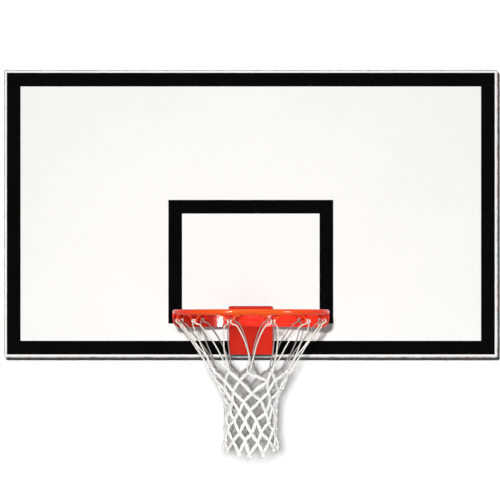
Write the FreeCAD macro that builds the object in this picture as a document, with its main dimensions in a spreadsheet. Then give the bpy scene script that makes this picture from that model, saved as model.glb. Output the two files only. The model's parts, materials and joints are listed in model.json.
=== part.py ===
import FreeCAD, Part
import math
import os

import Sketcher

os.makedirs("parts", exist_ok=True)
Vector = FreeCAD.Vector
doc = FreeCAD.newDocument("Backboard")

# Driving dimensions, in millimetres, degrees and counts.
# Frame: origin in the middle of the rear mounting holes, front towards -Y, +Z up.
SIZES = [
    ("board_width", 1828.8, "panel, left to right"),
    ("board_height", 1066.8, "panel, bottom to top"),
    ("board_depth", 38.1, "panel face to the rear edge of its flange"),
    ("board_sheet", 2.7, "panel sheet"),
    ("board_corner", 9.0, "outside radius of the panel's corners"),
    ("board_edge", 3.2, "outside bend radius along the face"),
    ("line_width", 50.8, "painted lines"),
    ("line_film", 0.3, "thickness of the lines"),
    ("border_margin", 12.7, "panel edge to the border line"),
    ("target_width", 609.6, "target rectangle, outside"),
    ("target_height", 457.2, "target rectangle, outside"),
    ("target_rise", 127.0, "panel's bottom edge to the target rectangle"),
    ("mount_span", 889.0, "mounting holes, left to right"),
    ("mount_rise", 508.0, "mounting holes, bottom to top"),
    ("mount_hole", 14.3, "mounting hole diameter"),
    ("channel_flange", 44.0, "stiffener flange width"),
    ("channel_sheet", 3.0, "stiffener sheet"),
    ("channel_bend", 3.0, "inside bend radius of the stiffeners"),
    ("rail_rise", 254.0, "cross rails above and below the middle"),
    ("ring_bore", 457.2, "ring, inside diameter"),
    ("ring_rod", 15.875, "ring rod diameter"),
    ("ring_reach", 152.4, "panel face to the inside of the ring"),
    ("brace_height", 50.8, "wrap brace below the middle of the rod"),
    ("brace_sheet", 4.8, "wrap brace sheet"),
    ("brace_wrap", 190.0, "angle that the wrap brace covers"),
    ("brace_sweep", 216.0, "radius of the curve that lifts the wrap brace's lower edge at its ends"),
    ("sweep_back", 95.0, "centre of that curve behind the ring's middle"),
    ("sweep_dip", 1.2, "lowest point of that curve below the wrap brace"),
    ("base_sheet", 5.0, "base bracket web"),
    ("base_width", 157.0, "base bracket, left to right"),
    ("base_top", 22.0, "base bracket above the ring's middle"),
    ("base_drop", 164.0, "base bracket below the ring's middle"),
    ("base_corner", 6.0, "radius of the base bracket's corners"),
    ("ear_sheet", 6.0, "hinge ear thickness"),
    ("ear_spread", 134.0, "hinge ears, outside to outside"),
    ("ear_radius", 13.0, "hinge ear round the pin"),
    ("pin_size", 12.7, "hinge pin diameter"),
    ("pin_gap", 0.05, "radial running clearance of the pin"),
    ("pin_chamfer", 1.2, "chamfer at the pin's ends"),
    ("hinge_out", 32.0, "base bracket's rear face to the pin"),
    ("hinge_rise", 5.0, "pin above the ring's middle"),
    ("carrier_depth", 84.0, "base bracket's rear face to the carrier's front"),
    ("carrier_width", 157.0, "carrier, left to right"),
    ("carrier_sheet", 4.0, "carrier sheet"),
    ("carrier_bend", 5.0, "outside bend radius of the carrier"),
    ("carrier_top", 20.0, "carrier above the ring's middle"),
    ("carrier_drop", 152.0, "carrier below the ring's middle"),
    ("heel_out", 14.0, "base bracket's rear face to the carrier's heel"),
    ("heel_drop", 9.0, "carrier's heel below the ring's middle"),
    ("heel_corner", 5.0, "radius of the carrier's heel corners"),
    ("toe_depth", 18.0, "carrier's flange at its lower end"),
    ("bush_wall", 1.6, "hinge bush wall"),
    ("bush_collar", 3.0, "hinge bush collar beyond its wall"),
    ("bush_lip", 1.5, "hinge bush collar thickness"),
    ("clip_sheet", 1.6, "pin clip thickness"),
    ("clip_rim", 4.0, "pin clip beyond the pin"),
    ("clip_groove", 1.2, "depth of the clip's groove in the pin"),
    ("clip_gap", 0.3, "clearance beside the clips and the stop pads"),
    ("pin_overhang", 3.0, "pin beyond each clip"),
    ("neck_width", 140.0, "neck channel, left to right"),
    ("neck_sheet", 4.8, "neck channel sheet"),
    ("neck_drop", 46.0, "neck channel's sides below the ring's middle"),
    ("neck_bend", 3.0, "inside bend radius of the neck channel"),
    ("rim_bolt", 9.525, "rim bolt diameter"),
    ("rim_bolt_hole", 11.1, "rim bolt holes"),
    ("rim_bolt_span", 127.0, "rim bolts, left to right"),
    ("rim_bolt_rise", 101.6, "rim bolts, bottom to top"),
    ("rim_bolt_drop", 20.0, "upper rim bolts below the ring's middle"),
    ("bolt_flats", 14.3, "rim bolt heads and nuts, across flats"),
    ("bolt_head", 6.2, "rim bolt head height"),
    ("nut_height", 8.4, "rim nut height"),
    ("bolt_tail", 3.0, "rim bolt beyond its nut"),
    ("washer_size", 20.6, "rim washer diameter"),
    ("washer_sheet", 1.6, "rim washer thickness"),
    ("backing_sheet", 6.35, "backing plate"),
    ("backing_width", 172.0, "backing plate, left to right"),
    ("backing_margin", 22.0, "backing plate beyond the bolts, up and down"),
    ("spring_wire", 7.0, "return spring wire"),
    ("spring_mean", 38.0, "return spring, mean diameter"),
    ("spring_turns", 4, "return spring turns"),
    ("spring_spread", 64.0, "return springs, middle to middle"),
    ("spring_drop", 80.0, "return springs below the ring's middle"),
    ("spring_seat", 0.3, "clearance at each end of a spring"),
    ("spring_close", 1.0, "gap between a spring's end turns"),
    ("seat_sheet", 3.0, "spring seat flange thickness"),
    ("seat_post", 9.0, "spring seat post beyond its flange"),
    ("seat_play", 2.0, "clearance between a post and its spring"),
    ("seat_chamfer", 1.5, "chamfer at the end of a spring seat's post"),
    ("pad_rise", 5.0, "lower edge of the stop pads above the pin"),
    ("hook_wire", 4.8, "net hook wire"),
    ("hook_count", 12, "net hooks round the ring"),
    ("hook_seat", 0.05, "clearance between a hook's feet and the ring"),
    ("hook_inset", 5.0, "net hooks inside the rod's middle"),
    ("hook_drop", 17.0, "depth of a hook's dip"),
    ("hook_bar", 14.0, "width of a hook's dip at its bottom"),
    ("hook_mouth", 38.0, "width of a hook's dip at its top"),
    ("hook_foot", 60.0, "length of a hook along the ring"),
    ("hook_bend", 5.5, "bend radius of a hook, in the middle of the wire"),
    ("net_cord", 5.0, "net cord diameter"),
    ("net_seat", 0.3, "clearance between a net loop and its hook"),
    ("net_spread", 12.0, "two strands of a net loop apart, beside their hook"),
    ("net_waist", 79.0, "net radius at its waist"),
    ("net_taper", 262.0, "hooks to the waist"),
    ("net_bow", 1.3, "power of the curve from the hooks to the waist"),
    ("net_flare", 6.0, "net radius gained from the waist to the tips"),
    ("net_first_row", 150.0, "hooks to the first row of knots"),
    ("net_row", 31.0, "rows of knots, one to the next"),
    ("net_rows", 9, "rows of knots"),
    ("knot_width", 13.0, "net knots, across"),
    ("knot_height", 10.0, "net knots, bottom to top"),
    ("tip_drop", 10.0, "net tips below the middle of the last knots"),
]

# Places worked out from the driving dimensions.
PLACES = [
    ("face_y", "-Sizes.board_depth"),
    ("inside_y", "Places.face_y + Sizes.board_sheet"),
    ("base_y", "Places.face_y - Sizes.line_film"),
    ("ring_radius", "(Sizes.ring_bore + Sizes.ring_rod) / 2"),
    ("ring_edge", "Sizes.ring_bore / 2 + Sizes.ring_rod"),
    ("ring_y", "Places.face_y - Sizes.ring_reach - Sizes.ring_bore / 2"),
    ("target_z", "-Sizes.board_height / 2 + Sizes.target_rise"),
    ("ring_z", "Places.target_z + Sizes.line_width - Sizes.ring_rod / 2"),
    ("channel_depth", "Sizes.board_depth - Sizes.board_sheet"),
    ("upright_length", "Sizes.board_height - 2 * max(Sizes.board_edge; Sizes.board_sheet)"),
    ("upright_web_x", "(Sizes.mount_span - Sizes.channel_flange) / 2"),
    ("ear_outside", "Sizes.ear_spread / 2"),
    ("carrier_side", "Sizes.carrier_width / 2"),
    ("pad_width", "Sizes.base_width / 2 - Places.ear_outside - Sizes.clip_gap"),
    ("bush_radius", "Sizes.pin_size / 2 + Sizes.pin_gap + Sizes.bush_wall"),
    ("clip_x", "Places.carrier_side + Sizes.bush_lip + Sizes.clip_gap"),
    ("pin_half", "Places.clip_x + Sizes.clip_sheet + Sizes.pin_overhang"),
    ("seat_radius", "(Sizes.spring_mean + Sizes.spring_wire) / 2"),
    ("post_radius", "(Sizes.spring_mean - Sizes.spring_wire - Sizes.seat_play) / 2"),
    ("spring_start", "Sizes.base_sheet + Sizes.seat_sheet + Sizes.spring_seat"),
    ("spring_end", "Sizes.carrier_depth - Sizes.carrier_sheet - Sizes.seat_sheet - Sizes.spring_seat"),
    ("upper_bolt_z", "Places.ring_z - Sizes.rim_bolt_drop"),
    ("lower_bolt_z", "Places.upper_bolt_z - Sizes.rim_bolt_rise"),
    ("head_y", "Places.base_y - Sizes.base_sheet - Sizes.washer_sheet"),
    ("clamp_y", "Places.inside_y + Sizes.backing_sheet"),
    ("nut_y", "Places.clamp_y + Sizes.washer_sheet"),
    ("hex_radius", "Sizes.bolt_flats / 2 / cos(30 deg)"),
]

sheet = doc.addObject("Spreadsheet::Sheet", "Sizes")
for row, (alias, number, meaning) in enumerate(SIZES, start=1):
    sheet.set(f"A{row}", meaning)
    sheet.set(f"B{row}", str(number))
    sheet.setAlias(f"B{row}", alias)
doc.recompute()

places = doc.addObject("App::VarSet", "Places")
for alias, formula in PLACES:
    places.addProperty("App::PropertyFloat", alias)
    places.setExpression(alias, formula)
doc.recompute()


def size(alias):
    return sheet.get(alias)


def place(thing, x="0", y="0", z="0"):
    for axis, formula in zip("xyz", (x, y, z)):
        thing.setExpression(f"Placement.Base.{axis}", formula)


def new_body(label, x="0", y="0", z="0"):
    body = doc.addObject("PartDesign::Body", label)
    place(body, x, y, z)
    return body


def new_sketch(body, plane, offset=None):
    sketch = body.newObject("Sketcher::SketchObject", "Sketch")
    origin = next(item for item in body.Origin.OriginFeatures if item.Role == plane)
    sketch.AttachmentSupport = [(origin, "")]
    sketch.MapMode = "FlatFace"
    if offset:
        sketch.setExpression("AttachmentOffset.Base.z", offset)
    return sketch


def hold_point(sketch, curve, point, across, up):
    for kind, formula in (("DistanceX", across), ("DistanceY", up)):
        index = sketch.addConstraint(Sketcher.Constraint(kind, -1, 1, curve, point, 1.0))
        sketch.setExpression(f"Constraints[{index}]", formula)


def hold_radius(sketch, curve, formula):
    index = sketch.addConstraint(Sketcher.Constraint("Radius", curve, 1.0))
    sketch.setExpression(f"Constraints[{index}]", formula)


def polygon(sketch, corners):
    first = sketch.GeometryCount
    count = len(corners)
    ring = [Vector(math.cos(turn), math.sin(turn), 0)
            for turn in (math.tau * step / count for step in range(count))]
    for step in range(count):
        sketch.addGeometry(Part.LineSegment(ring[step], ring[(step + 1) % count]))
    for step, (across, up) in enumerate(corners):
        before = first + (step - 1) % count
        sketch.addConstraint(Sketcher.Constraint("Coincident", first + step, 1, before, 2))
        hold_point(sketch, first + step, 1, across, up)


def rectangle(sketch, left, right, low, high):
    polygon(sketch, [(left, low), (right, low), (right, high), (left, high)])


def circle(sketch, across, up, radius):
    curve = sketch.addGeometry(Part.Circle(Vector(), Vector(0, 0, 1), 1.0))
    hold_point(sketch, curve, 3, across, up)
    hold_radius(sketch, curve, radius)


def extrude(body, kind, sketch, length, reverse=False, both=False):
    feature = body.newObject(f"PartDesign::{kind}", kind)
    feature.Profile = sketch
    feature.setExpression("Length", length)
    feature.Reversed = reverse
    feature.SideType = "Symmetric" if both else "One side"
    return feature


def pad(body, sketch, length, reverse=False, both=False):
    return extrude(body, "Pad", sketch, length, reverse, both)


def pocket(body, sketch, length, reverse=False, both=False):
    doc.recompute()
    before = body.Shape.Volume
    feature = extrude(body, "Pocket", sketch, length, reverse, both)
    doc.recompute()
    if feature.Shape.Volume >= before:
        raise RuntimeError(f"a pocket of {body.Label} cuts nothing")
    return feature


def revolve(body, sketch, axis, angle="360", both=False):
    feature = body.newObject("PartDesign::Revolution", "Revolution")
    feature.Profile = sketch
    origin = next(item for item in body.Origin.OriginFeatures if item.Role == axis)
    feature.ReferenceAxis = (origin, [""])
    feature.setExpression("Angle", angle)
    feature.Midplane = both
    return feature


def fillet(body, feature, radius, wanted):
    doc.recompute()
    edges = [f"Edge{index}" for index, edge in enumerate(feature.Shape.Edges, start=1) if wanted(edge)]
    rounded = body.newObject("PartDesign::Fillet", "Fillet")
    rounded.Base = (feature, edges)
    rounded.setExpression("Radius", radius)
    return rounded


def runs_along(edge, axis):
    ends = [vertex.Point for vertex in edge.Vertexes]
    return len(ends) == 2 and abs((ends[1] - ends[0]).normalize().dot(axis)) > 0.999


def cylinder(radius, height, turn, x="0", y="0", z="0"):
    solid = doc.addObject("Part::Cylinder", "Cylinder")
    solid.setExpression("Radius", radius)
    solid.setExpression("Height", height)
    solid.Placement = FreeCAD.Placement(Vector(), turn)
    place(solid, x, y, z)
    return solid


def hexagon(height, turn, x, y, z):
    solid = doc.addObject("Part::Prism", "Hexagon")
    solid.Polygon = 6
    solid.setExpression("Circumradius", "Places.hex_radius")
    solid.setExpression("Height", height)
    solid.Placement = FreeCAD.Placement(Vector(), turn)
    place(solid, x, y, z)
    return solid


def cut(base, tool, label="Cut"):
    result = doc.addObject("Part::Cut", label)
    result.Base = base
    result.Tool = tool
    return result


def fuse(base, tool):
    result = doc.addObject("Part::Fuse", "Fuse")
    result.Base = base
    result.Tool = tool
    return result


def group(label, items):
    result = doc.addObject("Part::Compound", label)
    result.Links = items
    return result


FORWARD = FreeCAD.Rotation(Vector(1, 0, 0), 90)
BACKWARD = FreeCAD.Rotation(Vector(1, 0, 0), -90)
SIDEWAYS = FreeCAD.Rotation(Vector(0, 1, 0), 90)
UPWARD = FreeCAD.Rotation()
SIDES = (("left", "-1"), ("right", "1"))
RIM_BOLTS = [(f"{side} * Sizes.rim_bolt_span / 2", level)
             for level in ("Places.upper_bolt_z", "Places.lower_bolt_z") for _, side in SIDES]
along_x, along_y, along_z = Vector(1, 0, 0), Vector(0, 1, 0), Vector(0, 0, 1)


def bolt_circles(sketch, level_from):
    for across, level in RIM_BOLTS:
        circle(sketch, across, f"{level} - {level_from}", "Sizes.rim_bolt_hole / 2")


# Board panel: a pan of formed sheet, open to the rear.
def board_panel():
    body = new_body("board_panel", y="Places.face_y")
    outline = new_sketch(body, "XZ_Plane")
    half_width, half_height = "Sizes.board_width / 2", "Sizes.board_height / 2"
    rectangle(outline, f"-{half_width}", half_width, f"-{half_height}", half_height)
    blank = pad(body, outline, "Sizes.board_depth", reverse=True)
    rounded = fillet(body, blank, "Sizes.board_corner", lambda edge: runs_along(edge, along_y))
    bent = fillet(body, rounded, "Sizes.board_edge",
                  lambda edge: edge.BoundBox.YMax < 0.001)
    doc.recompute()
    rear = [f"Face{index}" for index, face in enumerate(bent.Shape.Faces, start=1)
            if face.BoundBox.YMin > size("board_depth") - 0.001]
    shell = body.newObject("PartDesign::Thickness", "Thickness")
    shell.Base = (bent, rear)
    shell.setExpression("Value", "Sizes.board_sheet")
    shell.Reversed = True
    doc.recompute()
    holes = new_sketch(body, "XZ_Plane")
    bolt_circles(holes, "0")
    pocket(body, holes, "Sizes.board_depth", both=True)


def line_frame(label, half_width, low, high):
    body = new_body(label, y="Places.face_y")
    outline = new_sketch(body, "XZ_Plane")
    width = "Sizes.line_width"
    rectangle(outline, f"-{half_width}", half_width, low, high)
    rectangle(outline, f"-{half_width} + {width}", f"{half_width} - {width}",
              f"{low} + {width}", f"{high} - {width}")
    pad(body, outline, "Sizes.line_film")
    holes = new_sketch(body, "XZ_Plane")
    bolt_circles(holes, "0")
    pocket(body, holes, "Sizes.board_depth", both=True)


# Stiffeners: channels whose flanges reach from the panel's sheet to its rear edge.
def channel_corners(side, width):
    depth, sheet_size = "Places.channel_depth", "Sizes.channel_sheet"
    inner, outer = f"{side} * (-{width} / 2)", f"{side} * {width} / 2"
    web = f"{side} * ({sheet_size} - {width} / 2)"
    return [(inner, "0"), (outer, "0"), (outer, f"-{sheet_size}"), (web, f"-{sheet_size}"),
            (web, f"{sheet_size} - {depth}"), (outer, f"{sheet_size} - {depth}"),
            (outer, f"-{depth}"), (inner, f"-{depth}")]


def bend_channel(body, blank, along, from_web):
    outside = fillet(body, blank, "Sizes.channel_bend + Sizes.channel_sheet",
                     lambda edge: runs_along(edge, along) and abs(from_web(edge)) < 0.001)
    fillet(body, outside, "Sizes.channel_bend",
           lambda edge: runs_along(edge, along) and abs(from_web(edge) - size("channel_sheet")) < 0.001)
    doc.recompute()


def upright_from_web(side):
    return lambda edge: float(side) * edge.CenterOfMass.x + size("channel_flange") / 2


def rail_from_web(edge):
    return size("channel_flange") / 2 - edge.CenterOfMass.z


def upright(label, side):
    body = new_body(label, x=f"{side} * Sizes.mount_span / 2", z="-Places.upright_length / 2")
    section = new_sketch(body, "XY_Plane")
    polygon(section, channel_corners(side, "Sizes.channel_flange"))
    blank = pad(body, section, "Places.upright_length")
    bend_channel(body, blank, along_z, upright_from_web(side))
    holes = new_sketch(body, "XZ_Plane")
    for level in ("-1", "1"):
        circle(holes, "0", f"(Places.upright_length + {level} * Sizes.mount_rise) / 2", "Sizes.mount_hole / 2")
    pocket(body, holes, "2 * Sizes.channel_sheet", both=True)


def cross_rail(label, level):
    body = new_body(label, z=f"{level} * Sizes.rail_rise")
    section = new_sketch(body, "YZ_Plane")
    corners = channel_corners("-1", "Sizes.channel_flange")
    polygon(section, [(depth, f"({height})") for height, depth in corners])
    blank = pad(body, section, "2 * Places.upright_web_x", both=True)
    bend_channel(body, blank, along_x, rail_from_web)


def rim_post(label, side):
    top = "(Places.upright_length / 2 - Sizes.rail_rise - Sizes.channel_flange / 2)"
    body = new_body(label, x=f"{side} * (Sizes.backing_width + Sizes.channel_flange) / 2",
                    z="-Places.upright_length / 2")
    section = new_sketch(body, "XY_Plane")
    polygon(section, channel_corners(side, "Sizes.channel_flange"))
    blank = pad(body, section, top)
    bend_channel(body, blank, along_z, upright_from_web(side))


def rim_backing_plate():
    body = new_body("rim_backing_plate", y="Places.inside_y")
    outline = new_sketch(body, "XZ_Plane")
    half_width = "Sizes.backing_width / 2"
    rectangle(outline, f"-{half_width}", half_width, "Places.lower_bolt_z - Sizes.backing_margin",
              "Places.upper_bolt_z + Sizes.backing_margin")
    bolt_circles(outline, "0")
    pad(body, outline, "Sizes.backing_sheet", reverse=True)


# Base bracket: web against the panel and two ears that carry the hinge pin.
def base_bracket():
    body = new_body("base_bracket", y="Places.base_y", z="Places.ring_z")
    outline = new_sketch(body, "XZ_Plane")
    rectangle(outline, "-Sizes.base_width / 2", "Sizes.base_width / 2", "-Sizes.base_drop", "Sizes.base_top")
    web = pad(body, outline, "Sizes.base_sheet")
    fillet(body, web, "Sizes.base_corner", lambda edge: runs_along(edge, along_y))
    doc.recompute()
    arms = new_sketch(body, "YZ_Plane")
    rectangle(arms, "-Sizes.hinge_out", "-Sizes.base_sheet / 2",
              "Sizes.hinge_rise - Sizes.ear_radius", "Sizes.hinge_rise + Sizes.ear_radius")
    pad(body, arms, "Sizes.ear_spread", both=True)
    noses = new_sketch(body, "YZ_Plane")
    circle(noses, "-Sizes.hinge_out", "Sizes.hinge_rise", "Sizes.ear_radius")
    pad(body, noses, "Sizes.ear_spread", both=True)
    slot = new_sketch(body, "XZ_Plane", "Sizes.base_sheet")
    half_slot = "(Places.ear_outside - Sizes.ear_sheet)"
    rectangle(slot, f"-{half_slot}", half_slot, "-Sizes.base_drop", "2 * Sizes.base_top")
    pocket(body, slot, "Sizes.hinge_out + 2 * Sizes.ear_radius", reverse=True)
    bore = new_sketch(body, "YZ_Plane")
    circle(bore, "-Sizes.hinge_out", "Sizes.hinge_rise", "Sizes.pin_size / 2 + Sizes.pin_gap")
    pocket(body, bore, "2 * Sizes.ear_spread", both=True)
    holes = new_sketch(body, "XZ_Plane")
    bolt_circles(holes, "Places.ring_z")
    pocket(body, holes, "4 * Sizes.base_sheet", both=True)


# Rim fasteners: heads in front of the base, nuts behind the backing plate.
def rim_fasteners():
    bolts, washers, nuts = [], [], []
    bolt_radius, hole_radius = "Sizes.rim_bolt / 2", "Sizes.rim_bolt_hole / 2"
    bolt_length = "Places.nut_y + Sizes.nut_height + Sizes.bolt_tail - Places.head_y"
    for x, z in RIM_BOLTS:
        head = hexagon("Sizes.bolt_head", FORWARD, x, "Places.head_y", z)
        shank = cylinder(bolt_radius, bolt_length, BACKWARD, x, "Places.head_y", z)
        bolts.append(fuse(head, shank))
        for y in ("Places.head_y", "Places.clamp_y"):
            disc = cylinder("Sizes.washer_size / 2", "Sizes.washer_sheet", BACKWARD, x, y, z)
            eye = cylinder(hole_radius, "Sizes.washer_sheet", BACKWARD, x, y, z)
            washers.append(cut(disc, eye))
        nut = hexagon("Sizes.nut_height", BACKWARD, x, "Places.nut_y", z)
        thread = cylinder(bolt_radius, "Sizes.nut_height", BACKWARD, x, "Places.nut_y", z)
        nuts.append(cut(nut, thread))
    group("rim_bolts", bolts)
    group("rim_washers", washers)
    group("rim_nuts", nuts)


# Hinge pin with a groove for a clip near each end.
def hinge_pin():
    body = new_body("hinge_pin", y="Places.base_y - Sizes.hinge_out", z="Places.ring_z + Sizes.hinge_rise")
    outline = new_sketch(body, "XY_Plane")
    radius = "Sizes.pin_size / 2"
    neck = f"{radius} - Sizes.clip_groove"
    tip = f"{radius} - Sizes.pin_chamfer"
    end, shoulder = "Places.pin_half", "(Places.pin_half - Sizes.pin_chamfer)"
    near, far = "Places.clip_x", "(Places.clip_x + Sizes.clip_sheet)"
    polygon(outline, [
        (f"-{end}", "0"), (end, "0"), (end, tip), (shoulder, radius),
        (far, radius), (far, neck), (near, neck), (near, radius),
        (f"-{near}", radius), (f"-{near}", neck), (f"-{far}", neck), (f"-{far}", radius),
        (f"-{shoulder}", radius), (f"-{end}", tip)])
    revolve(body, outline, "X_Axis")


def pin_clips():
    clips = []
    for _, side in SIDES:
        body = new_body("clip", f"{side} * (Places.clip_x + Sizes.clip_sheet / 2)",
                        "Places.base_y - Sizes.hinge_out", "Places.ring_z + Sizes.hinge_rise")
        outline = new_sketch(body, "YZ_Plane")
        outside = "Sizes.pin_size / 2 + Sizes.clip_rim"
        circle(outline, "0", "0", outside)
        circle(outline, "0", "0", "Sizes.pin_size / 2 - Sizes.clip_groove")
        pad(body, outline, "Sizes.clip_sheet", both=True)
        mouth = new_sketch(body, "YZ_Plane")
        half_mouth = "(Sizes.pin_size / 2 - Sizes.clip_groove)"
        rectangle(mouth, f"-{half_mouth}", half_mouth, f"-({outside})", "0")
        pocket(body, mouth, "2 * Sizes.clip_sheet", both=True)
        clips.append(body)
    group("pin_clips", clips)


# Carrier: front plate and two side flanges that turn on the pin.
def carrier():
    body = new_body("carrier", y="Places.base_y", z="Places.ring_z")
    flange = new_sketch(body, "YZ_Plane")
    front, heel = "-Sizes.carrier_depth", "-Sizes.heel_out"
    top, bottom = "Sizes.carrier_top", "-Sizes.carrier_drop"
    polygon(flange, [(front, top), (heel, top), (heel, "-Sizes.heel_drop"),
                     ("Sizes.toe_depth - Sizes.carrier_depth", bottom), (front, bottom)])
    blank = pad(body, flange, "Sizes.carrier_width", both=True)
    heels = fillet(body, blank, "Sizes.heel_corner",
                   lambda edge: runs_along(edge, along_x) and edge.BoundBox.YMin > -size("heel_out") - 0.001)
    fillet(body, heels, "Sizes.carrier_bend",
           lambda edge: runs_along(edge, along_z) and edge.BoundBox.YMax < 0.001 - size("carrier_depth"))
    doc.recompute()
    hollow = new_sketch(body, "XZ_Plane")
    half_hollow = "(Places.carrier_side - Sizes.carrier_sheet)"
    rectangle(hollow, f"-{half_hollow}", half_hollow, f"2 * ({bottom})", f"2 * {top}")
    pocket(body, hollow, "Sizes.carrier_depth - Sizes.carrier_sheet", reverse=True)
    bores = new_sketch(body, "YZ_Plane")
    circle(bores, "-Sizes.hinge_out", "Sizes.hinge_rise", "Places.bush_radius")
    pocket(body, bores, "2 * Sizes.carrier_width", both=True)


# Hinge bushes: a sleeve through each flange with a collar outside it.
def hinge_bushes():
    bushes = []
    for _, side in SIDES:
        body = new_body("bush", y="Places.base_y - Sizes.hinge_out", z="Places.ring_z + Sizes.hinge_rise")
        outline = new_sketch(body, "XY_Plane")
        bore = "Sizes.pin_size / 2 + Sizes.pin_gap"
        collar = "Places.bush_radius + Sizes.bush_collar"
        inner = f"{side} * (Places.carrier_side - Sizes.carrier_sheet)"
        flush = f"{side} * Places.carrier_side"
        outer = f"{side} * (Places.carrier_side + Sizes.bush_lip)"
        polygon(outline, [(inner, bore), (outer, bore), (outer, collar), (flush, collar),
                          (flush, "Places.bush_radius"), (inner, "Places.bush_radius")])
        revolve(body, outline, "X_Axis")
        bushes.append(body)
    group("hinge_bushes", bushes)


# Spring seats: a flange with a post that keeps the spring in place.
def spring_seats(label, y, way):
    seats = []
    flange, tip = f"{way} * Sizes.seat_sheet", f"{way} * (Sizes.seat_sheet + Sizes.seat_post)"
    shoulder = f"{way} * (Sizes.seat_sheet + Sizes.seat_post - Sizes.seat_chamfer)"
    for _, side in SIDES:
        body = new_body("seat", f"{side} * Sizes.spring_spread / 2", y, "Places.ring_z - Sizes.spring_drop")
        outline = new_sketch(body, "XY_Plane")
        polygon(outline, [("0", "0"), ("Places.seat_radius", "0"), ("Places.seat_radius", flange),
                          ("Places.post_radius", flange), ("Places.post_radius", shoulder),
                          ("Places.post_radius - Sizes.seat_chamfer", tip), ("0", tip)])
        revolve(body, outline, "Y_Axis")
        seats.append(body)
    group(label, seats)


# Stop pads: the carrier's heels rest against them.
def stop_pads():
    pads = []
    for _, side in SIDES:
        block = doc.addObject("Part::Box", "Pad")
        block.setExpression("Length", "Places.pad_width")
        block.setExpression("Width", "Sizes.heel_out - Sizes.base_sheet - Sizes.clip_gap")
        block.setExpression("Height", "Sizes.carrier_top - Sizes.hinge_rise - Sizes.pad_rise")
        place(block, f"{side} * (Sizes.base_width - Places.pad_width) / 2 - Places.pad_width / 2",
              "Places.base_y - Sizes.heel_out + Sizes.clip_gap",
              "Places.ring_z + Sizes.hinge_rise + Sizes.pad_rise")
        pads.append(block)
    group("stop_pads", pads)


def ring():
    rod = doc.addObject("Part::Torus", "ring")
    rod.setExpression("Radius1", "Places.ring_radius")
    rod.setExpression("Radius2", "Sizes.ring_rod / 2")
    place(rod, y="Places.ring_y", z="Places.ring_z")
    return rod


# Wrap brace: a band flush with the outside of the ring, coped to its underside and swept up at its ends.
def wrap_brace(rod):
    body = new_body("brace_band", y="Places.ring_y", z="Places.ring_z")
    section = new_sketch(body, "YZ_Plane")
    rectangle(section, "Places.ring_edge - Sizes.brace_sheet", "Places.ring_edge", "-Sizes.brace_height", "0")
    revolve(body, section, "Z_Axis", "Sizes.brace_wrap", both=True)
    waste = doc.addObject("Part::Box", "Waste")
    waste.setExpression("Length", "2 * Places.ring_edge")
    waste.setExpression("Width", "Places.ring_edge + Sizes.sweep_back")
    waste.setExpression("Height", "2 * Sizes.brace_height")
    place(waste, "-Places.ring_edge", "Places.ring_y - Places.ring_edge",
          "Places.ring_z - 2 * Sizes.brace_height")
    sweep = cylinder("Sizes.brace_sweep", "2 * Places.ring_edge", SIDEWAYS, "-Places.ring_edge",
                     "Places.ring_y + Sizes.sweep_back",
                     "Places.ring_z - Sizes.brace_height - Sizes.sweep_dip + Sizes.brace_sweep")
    cut(cut(body, cut(waste, sweep)), rod, "wrap_brace")


# Neck channel: an inverted channel from the carrier to the ring and its brace.
def neck_channel():
    body = new_body("neck_blank", y="Places.base_y", z="Places.ring_z")
    section = new_sketch(body, "XZ_Plane", "Sizes.carrier_depth")
    half_width, top = "Sizes.neck_width / 2", "Sizes.neck_sheet / 2"
    half_inside = f"({half_width} - Sizes.neck_sheet)"
    polygon(section, [(f"-{half_width}", "-Sizes.neck_drop"), (f"-{half_width}", top), (half_width, top),
                      (half_width, "-Sizes.neck_drop"), (half_inside, "-Sizes.neck_drop"),
                      (half_inside, f"-{top}"), (f"-{half_inside}", f"-{top}"),
                      (f"-{half_inside}", "-Sizes.neck_drop")])
    blank = pad(body, section, "Sizes.ring_reach")
    outside = fillet(body, blank, "Sizes.neck_bend + Sizes.neck_sheet",
                     lambda edge: runs_along(edge, along_y) and edge.BoundBox.ZMin > 0)
    fillet(body, outside, "Sizes.neck_bend",
           lambda edge: runs_along(edge, along_y)
           and abs(edge.CenterOfMass.z + size("neck_sheet") / 2) < 0.001)
    doc.recompute()
    drum = cylinder("Places.ring_edge", "4 * Sizes.brace_height", UPWARD, "0", "Places.ring_y",
                    "Places.ring_z - 2 * Sizes.brace_height")
    cut(body, drum, "neck_channel")


# Wound and bent wire follows a path of lines and tangent arcs.
def biarc(start, start_way, end, end_way):
    span = end - start
    ways = start_way + end_way
    turn = 2 * (start_way.dot(end_way) - 1)
    lean = span.dot(ways)
    reach = (-lean + math.sqrt(lean * lean - turn * span.dot(span))) / turn
    reach = abs(reach)
    corners = (start + start_way * reach, end - end_way * reach)
    middle = (corners[0] + corners[1]) * 0.5
    edges = []
    for first, corner, last in ((start, corners[0], middle), (middle, corners[1], end)):
        bend = (corner - first).getAngle(last - corner)
        inward = ((first + last) * 0.5 - corner).normalize()
        top = corner + inward * ((corner - first).Length * math.tan(bend / 4))
        edges.append(Part.Arc(first, top, last).toShape())
    return edges


def round_wire(edges, start_way, wire):
    path = Part.Wire(edges)
    start = path.OrderedVertexes[0].Point
    profile = Part.Wire(Part.Circle(start, start_way, wire / 2).toShape())
    return path.makePipeShell([profile], True, False)


# Return springs: the pitch is closer in the first and last turn.
def spring_point(turns, wire, radius, count, length, end_pitch):
    free_turns = count - 2
    free_pitch = (length - wire - 2 * end_pitch) / free_turns
    along = wire / 2 + end_pitch * min(turns, 1) + free_pitch * max(0, min(turns - 1, free_turns))
    along += end_pitch * max(0, turns - 1 - free_turns)
    angle = math.tau * turns
    return Vector(radius * math.cos(angle), -along, radius * math.sin(angle))


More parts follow.
